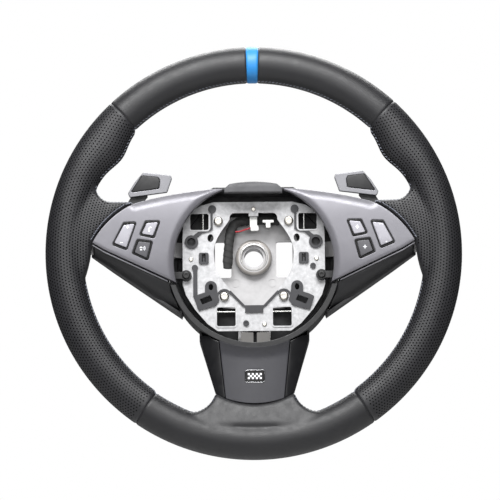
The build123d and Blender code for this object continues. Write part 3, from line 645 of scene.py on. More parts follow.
@dataclass
class LeatherRim:
    """The leather-covered rim with its thumb rests and spoke flares (millimetres)."""

    outer: float = 190.0
    inner: float = 156.5
    centre_y: float = -62.0
    half_depth: float = 15.5
    grip_inner: float = 155.2
    thumb_angle: float = 54.0
    thumb_rise: float = 7.0
    thumb_spread: float = 7.0
    seam_top: float = 43.3
    seam_low: float = 145.3
    stripe: float = 1.75
    seam_ease: float = 1.5
    voxel: float = 1.5
    quick_voxel: float = 2.4
    pieces: dict[str, bpy.types.Object] = field(default_factory=dict)

    def flare(self) -> list[Point]:
        """Outline of the right flare, where the grip meets the spoke.

        Returns:
            The outline's points.
        """
        points = arc((144.5, 62.0), (140.8, 51.6), (132.0, 46.4))
        points += [(132.0, 46.4)] + arc((107.9, 46.2), (129.0, 32.2), (147.6, 8.9))
        points += arc((147.6, 8.9), (150.0, -8.0), (155.5, -26.0))
        return points + [(155.5, -26.0), (166.0, -26.0), (166.0, 62.0)]

    def bottom_flare(self) -> list[Point]:
        """Outline of the flare at the lower spoke.

        Returns:
            The outline's points.
        """
        points = arc((62.0, -147.0), (43.0, -141.0), (35.9, -128.9))
        points += arc((35.9, -128.9), (0.0, -139.6), (-35.9, -128.9), 24)
        points += arc((-35.9, -128.9), (-43.0, -141.0), (-62.0, -147.0))
        return points + [(-62.0, -147.0), (-62.0, -160.0), (62.0, -160.0)]

    def inner_radius(self, clock: np.ndarray) -> np.ndarray:
        """Inner radius at clock angles in degrees, with the thumb rests.

        Args:
            clock: clock angles, positive to the right.

        Returns:
            The inner radius for each angle.
        """
        turned = np.abs((clock + 180) % 360 - 180)
        upper = np.clip((turned - self.seam_top) / self.seam_ease, 0, 1)
        edge = upper * np.clip((self.seam_low - turned) / self.seam_ease, 0, 1)
        rest = np.exp(-(((turned - self.thumb_angle) / self.thumb_spread) ** 2))
        return self.inner - edge * (self.inner - self.grip_inner) - edge * self.thumb_rise * rest

    def point(self, clock: np.ndarray, section: np.ndarray) -> np.ndarray:
        """Points on the plain rim.

        Args:
            clock: clock angles in degrees.
            section: angle round the tube in degrees, 0 outwards and -90 to the driver.

        Returns:
            The points in millimetres, one row each.
        """
        inner = self.inner_radius(clock)
        half, middle = (self.outer - inner) / 2, (self.outer + inner) / 2
        turn, roll = np.radians(clock), np.radians(section)
        radius = middle + half * np.cos(roll)
        depth = self.centre_y + self.half_depth * np.sin(roll)
        return np.column_stack([radius * np.sin(turn), depth, radius * np.cos(turn)])

    def _ring(self) -> bpy.types.Object:
        """Closed ring mesh that the flares are joined to.

        Returns:
            The ring.
        """
        turns, rolls = 288, 48
        clock = np.repeat(np.arange(turns) * 360 / turns, rolls)
        section = np.tile(np.arange(rolls) * 360 / rolls, turns)
        faces = []
        for i in range(turns):
            for j in range(rolls):
                a, b = i * rolls + j, i * rolls + (j + 1) % rolls
                c, d = (i + 1) % turns * rolls + (j + 1) % rolls, (i + 1) % turns * rolls + j
                faces.append((a, b, c, d))
        mesh = bpy.data.meshes.new("ring")
        mesh.from_pydata((self.point(clock, section) * MM).tolist(), [], faces)
        return new_object("ring", mesh)

    def _flares(self) -> list[bpy.types.Object]:
        """The three flares as rounded solids.

        Returns:
            The right, left and lower flare.
        """
        side = SideSpoke(1)

        def side_front(x: np.ndarray, z: np.ndarray) -> np.ndarray:
            """Depth of a side flare's face."""
            lift = np.clip((np.hypot(x, z) - 140) / 22, 0, 1)
            return side.surface(x, z) - 1.4 - 1.8 * lift

        def low_front(x: np.ndarray, z: np.ndarray) -> np.ndarray:
            """Depth of the lower flare's face."""
            return -67.6 - 0.34 * np.clip(-138 - z, -10, 30)

        right = Panel("flare", self.flare(), 21.0, 2.6, side_front, cell=4.0).build()
        left = bpy.data.objects.new("flare_left", right.data.copy())
        bpy.context.scene.collection.objects.link(left)
        flipped(left, -1)
        low = Panel("flare_low", self.bottom_flare(), 18.5, 2.6, low_front, cell=4.0).build()
        return [right, left, low]

    def _body(self) -> bpy.types.Mesh:
        """One smooth closed surface of the whole rim.

        Returns:
            Its mesh.
        """
        parts = [self._ring(), *self._flares()]
        work = bmesh.new()
        for part in parts:
            work.from_mesh(part.data)
            bpy.data.objects.remove(part)
        bmesh.ops.recalc_face_normals(work, faces=work.faces)
        mesh = bpy.data.meshes.new("rim_body")
        work.to_mesh(mesh)
        work.free()
        joined = new_object("rim_body", mesh)
        remesh = joined.modifiers.new("blend", "REMESH")
        remesh.mode = "VOXEL"
        remesh.voxel_size = self.voxel * MM
        smooth = joined.modifiers.new("smooth", "SMOOTH")
        smooth.factor = 0.5
        smooth.iterations = 14
        whole = baked(joined, "rim_whole")
        self._true_up(whole.data)
        result = whole.data
        bpy.data.objects.remove(whole)
        return result

    def _true_up(self, mesh: bpy.types.Mesh) -> None:
        """Bring the plain stretches back to the exact section.

        Args:
            mesh: mesh of the whole rim, which is changed.
        """
        co = coordinates(mesh) / MM
        x, y, z = co.T
        clock = np.degrees(np.arctan2(x, z))
        radius = np.hypot(x, z)
        inner = self.inner_radius(clock)
        half, middle = (self.outer - inner) / 2, (self.outer + inner) / 2
        height, across = (y - self.centre_y) / self.half_depth, (radius - middle) / half
        roll = np.degrees(np.arctan2(height, across))
        exact = self.point(clock, roll)
        flare, low = self.flare(), self.bottom_flare()
        near = np.full(x.shape, 1e9)
        for outline, ax in ((flare, np.abs(x)), (low, x)):
            gap = segment_distance(ax, z, [*outline, outline[0]])
            gap[inside(ax, z, outline)] = 0
            near = np.minimum(near, gap)
        outward = np.clip((radius - middle - 4) / 6, 0, 1)
        plain = np.clip((near - 2.0) / 7.0, 0, 1)
        weight = np.maximum(plain, outward)
        weight = (weight * weight * (3 - 2 * weight))[:, None]
        set_coordinates(mesh, (co + (exact - co) * weight) * MM)

    def _stretch(self, whole: bpy.types.Mesh, name: str, start: float,
                 stop: float) -> bpy.types.Object:
        """Cut one stretch of leather out of the whole rim.

        Args:
            whole: mesh of the whole rim.
            name: piece name.
            start: first clock angle in degrees.
            stop: last clock angle in degrees.

        Returns:
            The stretch, with its ends rolled in at the seams.
        """
        work = bmesh.new()
        work.from_mesh(whole)
        middle = math.radians((start + stop) / 2)
        out = Vector((math.sin(middle), 0, math.cos(middle)))
        reach = math.cos(math.radians(min(stop - start, 150) / 2 + 12)) * self.inner * MM * 0.6
        far = [v for v in work.verts if v.co.x * out.x + v.co.z * out.z < reach]
        bmesh.ops.delete(work, geom=far, context="VERTS")
        for angle, sign in ((start, -1), (stop, 1)):
            turn = math.radians(angle)
            normal = Vector((math.cos(turn), 0, -math.sin(turn))) * sign
            for back in (0.0, 0.5, 1.1, 2.0):
                at = -normal * back * MM
                geometry = [*work.verts, *work.edges, *work.faces]
                bmesh.ops.bisect_plane(work, geom=geometry, plane_co=at, plane_no=normal,
                                       dist=1e-6, clear_outer=back == 0.0)
        mesh = bpy.data.meshes.new(name)
        work.to_mesh(mesh)
        work.free()
        self._roll_ends(mesh, start, stop)
        shade(mesh, 70)
        return new_object(name, mesh)

    def _roll_ends(self, mesh: bpy.types.Mesh, start: float, stop: float) -> None:
        """Sink the last two millimetres of a stretch into its seams.

        Args:
            mesh: the stretch's mesh, which is changed.
            start: first clock angle in degrees.
            stop: last clock angle in degrees.
        """
        co = coordinates(mesh) / MM
        x, y, z = co.T
        clock = np.degrees(np.arctan2(x, z))
        middle = (start + stop) / 2
        off = (clock - middle + 180) % 360 - 180
        gap = np.radians((stop - start) / 2 - np.abs(off)) * np.hypot(x, z)
        sink = 0.85 * np.clip(1 - gap / 2.0, 0, 1) ** 2
        radius = np.hypot(x, z)
        centre = (self.outer + self.inner_radius(clock)) / 2
        across = np.stack([radius - centre, y - self.centre_y])
        across /= np.maximum(np.hypot(*across), 1e-6)
        radius = radius - across[0] * sink
        turn = np.radians(clock)
        depth = y - across[1] * sink
        placed = np.column_stack([radius * np.sin(turn), depth, radius * np.cos(turn)])
        set_coordinates(mesh, placed * MM)

    def build(self) -> None:
        """Build and dress the six stretches of leather."""
        whole = self._body()
        half, top, low = self.stripe, self.seam_top, self.seam_low
        plan = {
            "leather_centre_stripe": (-half, half, BLUE_LEATHER, "leather_blue"),
            "leather_top_right": (half, top, LEATHER, "leather_smooth"),
            "leather_top_left": (-top, -half, LEATHER, "leather_smooth"),
            "leather_grip_right": (top, low, GRIP_LEATHER, "leather_perforated"),
            "leather_grip_left": (-low, -top, GRIP_LEATHER, "leather_perforated"),
            "leather_bottom": (low, 360 - low, LEATHER, "leather_smooth"),
        }
        for node, (start, stop, finish, slot) in plan.items():
            piece = self._stretch(whole, node + "_cover", start, stop)
            covered = [node, "rim_foam"] if node == "leather_bottom" else [node]
            self.pieces[node] = dress(piece, finish, ROOT_BODY, covered)
        bpy.data.meshes.remove(whole)


@dataclass
class Scatter:
    """Geometry Nodes tree that sets one small shape on every point of a mesh.

    Args:
        name: piece name.
        size: length, width and height of the shape in metres.
        slant: turn about the point's normal in degrees.
        bead: a bead when True, a flat disc when False.
    """

    name: str
    size: tuple[float, float, float]
    slant: float
    bead: bool

    def tree(self, finish: Finish) -> bpy.types.NodeTree:
        """Build the node tree.

        Args:
            finish: finish of the shapes.

        Returns:
            The tree, with Geometry, Size and Slant inputs.
        """
        made = bpy.data.node_groups.new(self.name + "_tree", "GeometryNodeTree")
        face = made.interface
        face.new_socket("Geometry", in_out="INPUT", socket_type="NodeSocketGeometry")
        face.new_socket("Size", in_out="INPUT", socket_type="NodeSocketVector")
        face.new_socket("Slant", in_out="INPUT", socket_type="NodeSocketFloat")
        face.new_socket("Geometry", in_out="OUTPUT", socket_type="NodeSocketGeometry")
        add, link = made.nodes.new, made.links.new
        source, result = add("NodeGroupInput"), add("NodeGroupOutput")
        if self.bead:
            shape = add("GeometryNodeMeshIcoSphere")
            shape.inputs["Radius"].default_value = 0.5
            shape.inputs["Subdivisions"].default_value = 2
        else:
            shape = add("GeometryNodeMeshCircle")
            shape.fill_type = "NGON"
            shape.inputs["Vertices"].default_value = 7
            shape.inputs["Radius"].default_value = 0.5
        facing = add("GeometryNodeInputNamedAttribute")
        along = add("GeometryNodeInputNamedAttribute")
        for node, name in ((facing, "facing"), (along, "along")):
            node.data_type = "FLOAT_VECTOR"
            node.inputs["Name"].default_value = name
        upright = add("FunctionNodeAlignRotationToVector")
        lined = add("FunctionNodeAlignRotationToVector")
        upright.axis, lined.axis, lined.pivot_axis = "Z", "X", "Z"
        link(facing.outputs["Attribute"], upright.inputs["Vector"])
        link(upright.outputs["Rotation"], lined.inputs["Rotation"])
        link(along.outputs["Attribute"], lined.inputs["Vector"])
        turn = add("FunctionNodeAxisAngleToRotation")
        turn.inputs["Axis"].default_value = (0, 0, 1)
        link(source.outputs["Slant"], turn.inputs["Angle"])
        slanted = add("FunctionNodeRotateRotation")
        slanted.rotation_space = "LOCAL"
        link(lined.outputs["Rotation"], slanted.inputs["Rotation"])
        link(turn.outputs["Rotation"], slanted.inputs["Rotate By"])
        placed = add("GeometryNodeInstanceOnPoints")
        link(source.outputs["Geometry"], placed.inputs["Points"])
        link(shape.outputs["Mesh"], placed.inputs["Instance"])
        link(slanted.outputs["Rotation"], placed.inputs["Rotation"])
        link(source.outputs["Size"], placed.inputs["Scale"])
        real, coated = add("GeometryNodeRealizeInstances"), add("GeometryNodeSetMaterial")
        coated.inputs["Material"].default_value = finish.material()
        link(placed.outputs["Instances"], real.inputs["Geometry"])
        link(real.outputs["Geometry"], coated.inputs["Geometry"])
        link(coated.outputs["Geometry"], result.inputs["Geometry"])
        return made

    def build(self, points: Sequence[Spot], finish: Finish, slot: str) -> bpy.types.Object:
        """Set the shape on each point.

        Args:
            points: position, normal and direction for each point, in metres.
            finish: finish of the shapes.
            slot: not used.

        Returns:
            The finished piece.
        """
        mesh = bpy.data.meshes.new(self.name + "_points")
        mesh.from_pydata([p[0] for p in points], [], [])
        for index, name in ((1, "facing"), (2, "along")):
            attribute = mesh.attributes.new(name, "FLOAT_VECTOR", "POINT")
            attribute.data.foreach_set("vector", [c for p in points for c in p[index]])
        holder = new_object(self.name + "_points", mesh)
        modifier = holder.modifiers.new("scatter", "NODES")
        tree = self.tree(finish)
        modifier.node_group = tree
        sockets = {s.name: s.identifier for s in tree.interface.items_tree if s.in_out == "INPUT"}
        modifier[sockets["Size"]] = self.size
        modifier[sockets["Slant"]] = math.radians(self.slant)
        piece = baked(holder, self.name)
        if self.bead:
            piece.data.shade_smooth()
        return dress(piece, finish, ROOT_BODY)


@dataclass
class RimDetail:
    """Perforations of the grips, as flat black discs of painted shade, and the stitching along the
    rim's inside.
    """

    rim: LeatherRim
    pitch: float = 2.9
    row: float = 2.5
    hole: float = 1.4
    grip_r: float = 173.0
    seam_r: float = 156.0
    stitch_pitch: float = 3.1

    def _surface(self, node: str) -> BVHTree:
        """Search tree of one leather stretch."""
        piece = self.rim.pieces[node]
        return BVHTree.FromObject(piece, bpy.context.evaluated_depsgraph_get())

    def _holes(self, side: int) -> list[Spot]:
        """Points, normals and directions of one grip's perforations.

        Args:
            side: 1 for the right grip, -1 for the left.

        Returns:
            One entry for each hole.
        """
        rim = self.rim
        tree = self._surface("leather_grip_right" if side > 0 else "leather_grip_left")
        flare = rim.flare()
        step = math.degrees(self.pitch / self.grip_r)
        rows = int(101 / self.row)
        found = []
        for j in range(rows):
            section = 360.0 * j / rows
            shift = 0.5 * (j % 2)
            count = int((rim.seam_low - rim.seam_top) / step)
            clock = rim.seam_top + (np.arange(1, count - 1) + shift) * step
            co = rim.point(clock, np.full(clock.shape, section))
            x, z = co[:, 0], co[:, 2]
            keep = ~inside(x, z, flare) & (segment_distance(x, z, flare) > 1.4)
            keep |= np.hypot(x, z) > 160
            for p in co[keep]:
                spot = Vector((p[0] * side, p[1], p[2])) * MM
                hit, normal, _, _ = tree.find_nearest(spot, 0.004)
                if hit is not None:
                    found.append((hit, normal))
        found += self._flare_holes(side, tree, flare, step)
        holes = []
        for hit, normal in found:
            along = Vector((hit.z, 0, -hit.x)).normalized()
            holes.append((hit + normal * 0.00004, normal, along))
        return holes

    def _flare_holes(self, side: int, tree: BVHTree, flare: list[Point],
                     step: float) -> list[tuple[Vector, Vector]]:
        """Perforations of the flare, cast on from the front and the back.

        Args:
            side: 1 for the right grip, -1 for the left.
            tree: search tree of the grip.
            flare: outline of the right flare in millimetres.
            step: clock angle between holes in degrees.

        Returns:
            Position and normal of each hole.
        """
        found = []
        for j, radius in enumerate(np.arange(160.0, 108.0, -self.row)):
            clock = np.radians(60 + (np.arange(int(44 / step)) + 0.5 * (j % 2)) * step)
            x, z = radius * np.sin(clock), radius * np.cos(clock)
            keep = inside(x, z, flare) & (segment_distance(x, z, [*flare, flare[0]]) > 2.0)
            for px, pz in zip(x[keep], z[keep]):
                for y, way in ((-0.2, 1), (0.0, -1)):
                    start, ahead = Vector((px * side * MM, y, pz * MM)), Vector((0, way, 0))
                    hit, normal, _, _ = tree.ray_cast(start, ahead)
                    if hit is not None:
                        found.append((hit, normal))
        return found

    def _seam_line(self, side: int) -> list[Spot]:
        """Stitch points along the inside of the rim on one side.

        Args:
            side: 1 for the right half, -1 for the left.

        Returns:
            One entry for each stitch.
        """
        rim = self.rim
        line: list[Vector] = []
        spans = [(2.2, 42.9), (43.7, 63.5), (101.0, 144.9), (145.7, 156.0)]
        for start, stop in spans:
            count = int(math.radians(stop - start) * self.seam_r / self.stitch_pitch)
            clock = np.linspace(start, stop, count)
            for p in rim.point(clock, np.full(clock.shape, 198.0)):
                line.append(Vector((p[0] * side, p[1], p[2])) * MM)
        top = arc((144.0, 60.5), (140.6, 51.6), (132.0, 46.6), 6)
        top += [(132.0 - 3.1 * i, 46.5) for i in range(8)]
        low = arc((60.0, -146.0), (43.0, -140.7), (36.4, -130.0), 10)
        edge = arc((109.5, 46.6), (130.4, 33.2), (149.0, 9.6), 20)
        for x, z in [*top, *low]:
            line.append(Vector((x * side, -66.0, z)) * MM)
        for x, z in edge:
            line.append(Vector((x * side, -72.0, z)) * MM)
        names = ["leather_top", "leather_grip"]
        trees = [self._surface(f"{n}_{'right' if side > 0 else 'left'}") for n in names]
        trees.append(self._surface("leather_bottom"))
        points = []
        for spot in line:
            hits = [tree.find_nearest(spot, 0.012) for tree in trees]
            hits = [h for h in hits if h[0] is not None]
            if hits:
                hit, normal, _, _ = min(hits, key=lambda h: h[3])
                along = Vector((hit.z, 0, -hit.x)).normalized()
                points.append((hit + normal * 0.0001, normal, along))
        return points

    def build(self) -> None:
        """Build the perforations and the stitching."""
        for side, name in ((1, "right"), (-1, "left")):
            # The perforations are flat black discs, not cut holes: their black is painted shade.
            punch = Scatter(f"perforations_{name}", (self.hole * MM,) * 3, 0.0, False)
            punch.build(self._holes(side), PUNCHED_SHADE, "leather_perforated")
            stitch = Scatter(f"stitching_{name}", (0.0031, 0.0008, 0.0007), 38.0 * side, True)
            stitch.build(self._seam_line(side), THREAD, "leather_smooth")


# Side spokes ---------------------------------------------------------------------


class Icon(Enum):
    """Generic marks on the button caps."""

    PLUS_MINUS = "plus_minus"
    HANDSET = "handset"
    SPEECH = "speech"
    DIAMOND = "diamond"
    STAR = "star"
    ARROWS = "arrows"


@dataclass
class SideSpoke:
    """Trim, cover and controls of one side spoke (right-hand millimetres)."""

    side: int
    face_y: float = -68.0
    bend_radius: float = 200.0
    bend_z: float = 18.0
    tilt: float = 4.0
    pivot_x: float = 100.0
    well_z: float = -9.0
    well_r: float = 73.2
    cap_gap: float = 2.75
    rocker: tuple[Point, ...] = ((118.4, 27.3), (106.2, 28.0), (115.5, 1.1), (129.1, 6.4))
    upper: tuple[Point, ...] = ((98.6, 28.8), (84.6, 29.1), (90.5, 12.3), (104.4, 15.1))
    lower: tuple[Point, ...] = ((106.2, 11.9), (91.6, 9.9), (96.3, -8.2), (111.1, -1.7))

    @property
    def hand(self) -> str:
        """Name of the side."""
        return "right" if self.side > 0 else "left"

    def surface(self, x: np.ndarray, z: np.ndarray) -> np.ndarray:
        """Depth of the trim's curved face.

        Args:
            x: point X values.
            z: point Z values.

        Returns:
            The Y value for each point.
        """
        drop = self.bend_radius - np.sqrt(self.bend_radius**2 - (z - self.bend_z) ** 2)
        slope = math.tan(math.radians(self.tilt))
        return self.face_y + drop - (np.abs(x) - self.pivot_x) * slope

    def trim_outline(self) -> list[Point]:
        """Outline of the silver trim.

        Returns:
            The outline's points.
        """
        edge = arc((147.0, 8.4), (128.6, 31.6), (107.5, 45.8), 24)
        top = arc((107.5, 45.8), (67.0, 55.2), (27.6, 60.05), 20)
        well = arc((28.4, 58.47), (72.9, -2.4), (70.7, -27.7), 40)
        return [*edge, *top, (27.6, 60.05), *well, (70.7, -27.7), (135.2, 1.6)]

    def trim_front(self, x: np.ndarray, z: np.ndarray) -> np.ndarray:
        """Trim surface with its rolled top edge, hub bevel and lower crease.

        Args:
            x: point X values.
            z: point Z values.

        Returns:
            The Y value for each point.
        """
        ridge = [*arc((107.5, 45.8), (67.0, 55.2), (27.6, 60.05), 70), (27.6, 60.05)]
        top = segment_distance(x, z, ridge)
        roll = 3.4 * np.clip(1 - top / 9.0, 0, 1) ** 2
        gap = np.hypot(x, z - self.well_z) - self.well_r
        bevel = 2.6 * np.clip(1 - gap / 6.0, 0, 1) ** 2
        low = segment_distance(x, z, [(60.0, -32.6), (135.2, 1.6), (147.0, 8.4)])
        crease = 0.7 * np.clip(1 - low / 2.6, 0, 1) ** 2
        return self.surface(x, z) + roll + bevel + crease

    def _trim(self) -> None:
        """Silver trim with its three openings, and a thin strip below it that is partly a painted
        highlight.
        """
        holes = [rounded(p, 1.9) for p in (self.rocker, self.upper, self.lower)]
        node = f"spoke_trim_{self.hand}"
        panel = Panel(node + "_skin", self.trim_outline(), 8.6, 0.7, self.trim_front,
                      holes, cell=1.6)
        dress(flipped(panel.build(), self.side), SATIN_SILVER, ROOT_BODY, [node])
        # Thin silver strip below the trim's lower edge: partly the trim's flange and partly a
        # painted highlight of the cover's top edge.
        line = [(78.4, -25.6), (135.6, 0.5), (146.7, 6.9),
                (146.6, 5.8), (135.9, -0.6), (78.8, -26.7)]
        ledge = Panel(f"trim_ledge_{self.hand}", line, 2.0, 0.25,
                      lambda x, z: self.surface(x, z) + 2.2, cell=8.0)
        dress(flipped(ledge.build(), self.side), SATIN_SILVER, ROOT_BODY)

    def _undercover(self) -> None:
        """Black cover below the trim, rolled under at its lower edge."""
        outline = [(76.6, -27.3), (135.3, -0.3), (145.8, 5.9), (146.4, -3.6), (66.9, -56.8)]
        outline = [*outline, (70.6, -44.9), (74.7, -36.0)]
        under = [(146.4, -3.6), (66.9, -56.8)]

        def front(x: np.ndarray, z: np.ndarray) -> np.ndarray:
            """Depth of the cover's face."""
            roll = 7.0 * np.clip(1 - segment_distance(x, z, under) / 13.0, 0, 1) ** 2
            return self.surface(x, z) + 3.6 + roll

        node = f"undercover_{self.hand}"
        panel = Panel(node + "_skin", outline, 9.5, 1.2, front, cell=4.0)
        dress(flipped(panel.build(), self.side), FLANK_BLACK, ROOT_BODY, [node])

    def _cap(self, node: str, points: Sequence[Point], finish: Finish, icon: Icon) -> None:
        """One control cap with black sides and its mark.

        Args:
            node: CAD node that it stands for.
            points: outline of the opening.
            finish: finish of the cap's face.
            icon: the mark on the cap.
        """
        centre = np.mean(points, axis=0)
        outline = rounded(shrunk(points, self.cap_gap), 1.1)
        body = f"{node}_body"

        def front(x: np.ndarray, z: np.ndarray) -> np.ndarray:
            """Depth of the cap's crowned face."""
            return self.surface(x, z) - 0.9 + 0.004 * ((x - centre[0]) ** 2 + (z - centre[1]) ** 2)

        panel = Panel(node + "_cap", outline, 6.4, 0.55, front, cell=2.0, side_material=True)
        cap = flipped(panel.build(), self.side)
        dress(cap, [finish, BEZEL_BLACK], body, [node])
        self._mark(node, icon, centre, front, body)

    def _mark(self, node: str, icon: Icon, centre: np.ndarray, front: Surface,
              body: str) -> None:
        """Small printed mark on a cap.

        Args:
            node: CAD node of the cap.
            icon: the mark.
            centre: middle of the cap, on the right-hand side.
            front: depth of the cap's face.
            body: CAD body that the cap rides on.
        """
        strokes = IconArt(icon).outlines()
        work = bmesh.new()
        for stroke in strokes:
            xs = np.array([centre[0] * self.side + p[0] for p in stroke])
            zs = np.array([centre[1] + p[1] for p in stroke])
            ys = front(np.abs(xs), zs) - 0.07
            verts = [work.verts.new(Vector(p) * MM) for p in zip(xs, ys, zs)]
            work.faces.new(verts)
        bmesh.ops.triangulate(work, faces=work.faces)
        for face in work.faces:
            if face.normal.y > 0:
                face.normal_flip()
        mesh = bpy.data.meshes.new(f"{node}_mark")
        work.to_mesh(mesh)
        work.free()
        dress(new_object(f"{node}_mark", mesh), ICON_WHITE, body)

    def build(self) -> None:
        """Build the whole spoke."""
        self._trim()
        self._undercover()
        marks = (Icon.ARROWS, Icon.DIAMOND, Icon.STAR)
        if self.side < 0:
            marks = (Icon.PLUS_MINUS, Icon.HANDSET, Icon.SPEECH)
        self._cap(f"rocker_{self.hand}", self.rocker, CAP_SILVER, marks[0])
        self._cap(f"button_upper_{self.hand}", self.upper, CAP_SILVER, marks[1])
        self._cap(f"button_lower_{self.hand}", self.lower, LOWER_CAP, marks[2])


@dataclass(frozen=True)
class IconArt:
    """Outlines of the small marks, in millimetres about the cap's middle."""

    icon: Icon

    def _bar(self, x0: float, z0: float, x1: float, z1: float,
             width: float = 0.55) -> list[Point]:
        """A straight stroke.

        Args:
            x0: X of its start.
            z0: Z of its start.
            x1: X of its end.
            z1: Z of its end.
            width: its width.

        Returns:
            Its four corners.
        """
        line = Vector((x1 - x0, z1 - z0)).normalized()
        nx, nz = -line.y * width / 2, line.x * width / 2
        return [(x0 + nx, z0 + nz), (x0 - nx, z0 - nz), (x1 - nx, z1 - nz), (x1 + nx, z1 + nz)]

    def _bow(self, radius: float, start: float, stop: float, width: float,
             x: float = 0, z: float = 0) -> list[Point]:
        """A curved stroke between two angles in degrees.

        Args:
            radius: radius of its middle line.
            start: first angle.
            stop: last angle.
            width: its width.
            x: X of its centre.
            z: Z of its centre.

        Returns:
            Its outline.
        """
        angles = [math.radians(start + (stop - start) * i / 8) for i in range(9)]

        def edge(reach: float) -> list[Point]:
            """Points at one distance from the centre."""
            return [(x + reach * math.cos(a), z + reach * math.sin(a)) for a in angles]

        return [*edge(radius + width / 2), *reversed(edge(radius - width / 2))]

    def outlines(self) -> list[list[Point]]:
        """Strokes of the mark.

        Returns:
            One outline for each stroke.
        """
        bar, bow = self._bar, self._bow
        if self.icon is Icon.PLUS_MINUS:
            return [bar(1.2, 6.8, 4.0, 6.8), bar(2.6, 7.2, 2.6, 8.2), bar(2.6, 5.4, 2.6, 6.4),
                    bar(-4.4, -7.4, -1.6, -7.4)]
        if self.icon is Icon.HANDSET:
            return [bow(2.1, 100, 215, 0.8, 1.0, -0.9), bar(0.3, 1.6, 1.4, 0.6, 1.1),
                    bar(-1.2, -2.6, 0.1, -2.0, 1.1)]
        if self.icon is Icon.SPEECH:
            return [bow(0.7, 0, 180, 1.3, -1.2, 0.3), bar(-2.2, -1.2, -0.2, -1.2, 0.9),
                    bow(1.6, -45, 45, 0.5, -0.2, 0.2), bow(2.7, -45, 45, 0.5, -0.2, 0.2)]
        if self.icon is Icon.DIAMOND:
            return [[(0, 2.0), (-1.5, 0), (0, -2.0), (1.5, 0)]]
        if self.icon is Icon.STAR:
            ring = [(math.radians(90 + 45 * i), 2.2 if i % 2 == 0 else 0.7) for i in range(8)]
            return [[(r * math.cos(a), r * math.sin(a)) for a, r in ring]]
        return [[(-2.9, 7.6), (-1.5, 7.6), (-2.2, 9.0)], [(2.9, -8.0), (4.3, -8.0), (3.6, -9.4)]]


# Paddles -------------------------------------------------------------------------


@dataclass
class Paddle:
    """Shift paddle: silver frame and black thumb pad (right-hand millimetres)."""

    side: int
    front_y: float = -46.0
    outline: tuple[Point, ...] = ((101.1, 77.0), (75.6, 74.0), (74.9, 71.0), (79.3, 58.2),
                                  (113.7, 53.6), (115.4, 57.6), (108.6, 68.4))
    pad: tuple[Point, ...] = ((102.5, 73.9), (87.3, 72.3), (85.8, 69.4), (86.7, 61.8),
                              (113.0, 58.2))
    pad_gap: float = 0.15

    def build(self) -> None:
        """Build the frame and the pad."""
        hand = "right" if self.side > 0 else "left"

        def dish(x: np.ndarray, z: np.ndarray) -> np.ndarray:
            """Depth of the frame's face."""
            return self.front_y + 0.0016 * (x - 95) ** 2 * (x < 95)

        outline, opening = rounded(self.outline, 1.6), rounded(self.pad, 0.9)
        frame_panel = Panel(f"paddle_frame_{hand}_skin", outline, 4.0, 0.6, dish,
                            [opening], cell=3.0)
        piece = flipped(frame_panel.build(), self.side)
        dress(piece, PADDLE_SILVER, f"paddle_{hand}", [f"paddle_frame_{hand}"])
        centre = np.mean(self.pad, axis=0)
        inset = rounded(shrunk(self.pad, self.pad_gap), 0.9)

        def crown(x: np.ndarray, z: np.ndarray) -> np.ndarray:
            """Depth of the thumb pad's face."""
            return self.front_y - 1.2 + 0.004 * ((x - centre[0]) ** 2 + 2 * (z - centre[1]) ** 2)

        pad_panel = Panel(f"paddle_pad_{hand}_skin", inset, 4.6, 0.55, crown, cell=3.0)
        pad = flipped(pad_panel.build(), self.side)
        dress(pad, BLACK_PLASTIC, f"paddle_{hand}", [f"paddle_pad_{hand}"])


# Lower spoke ---------------------------------------------------------------------


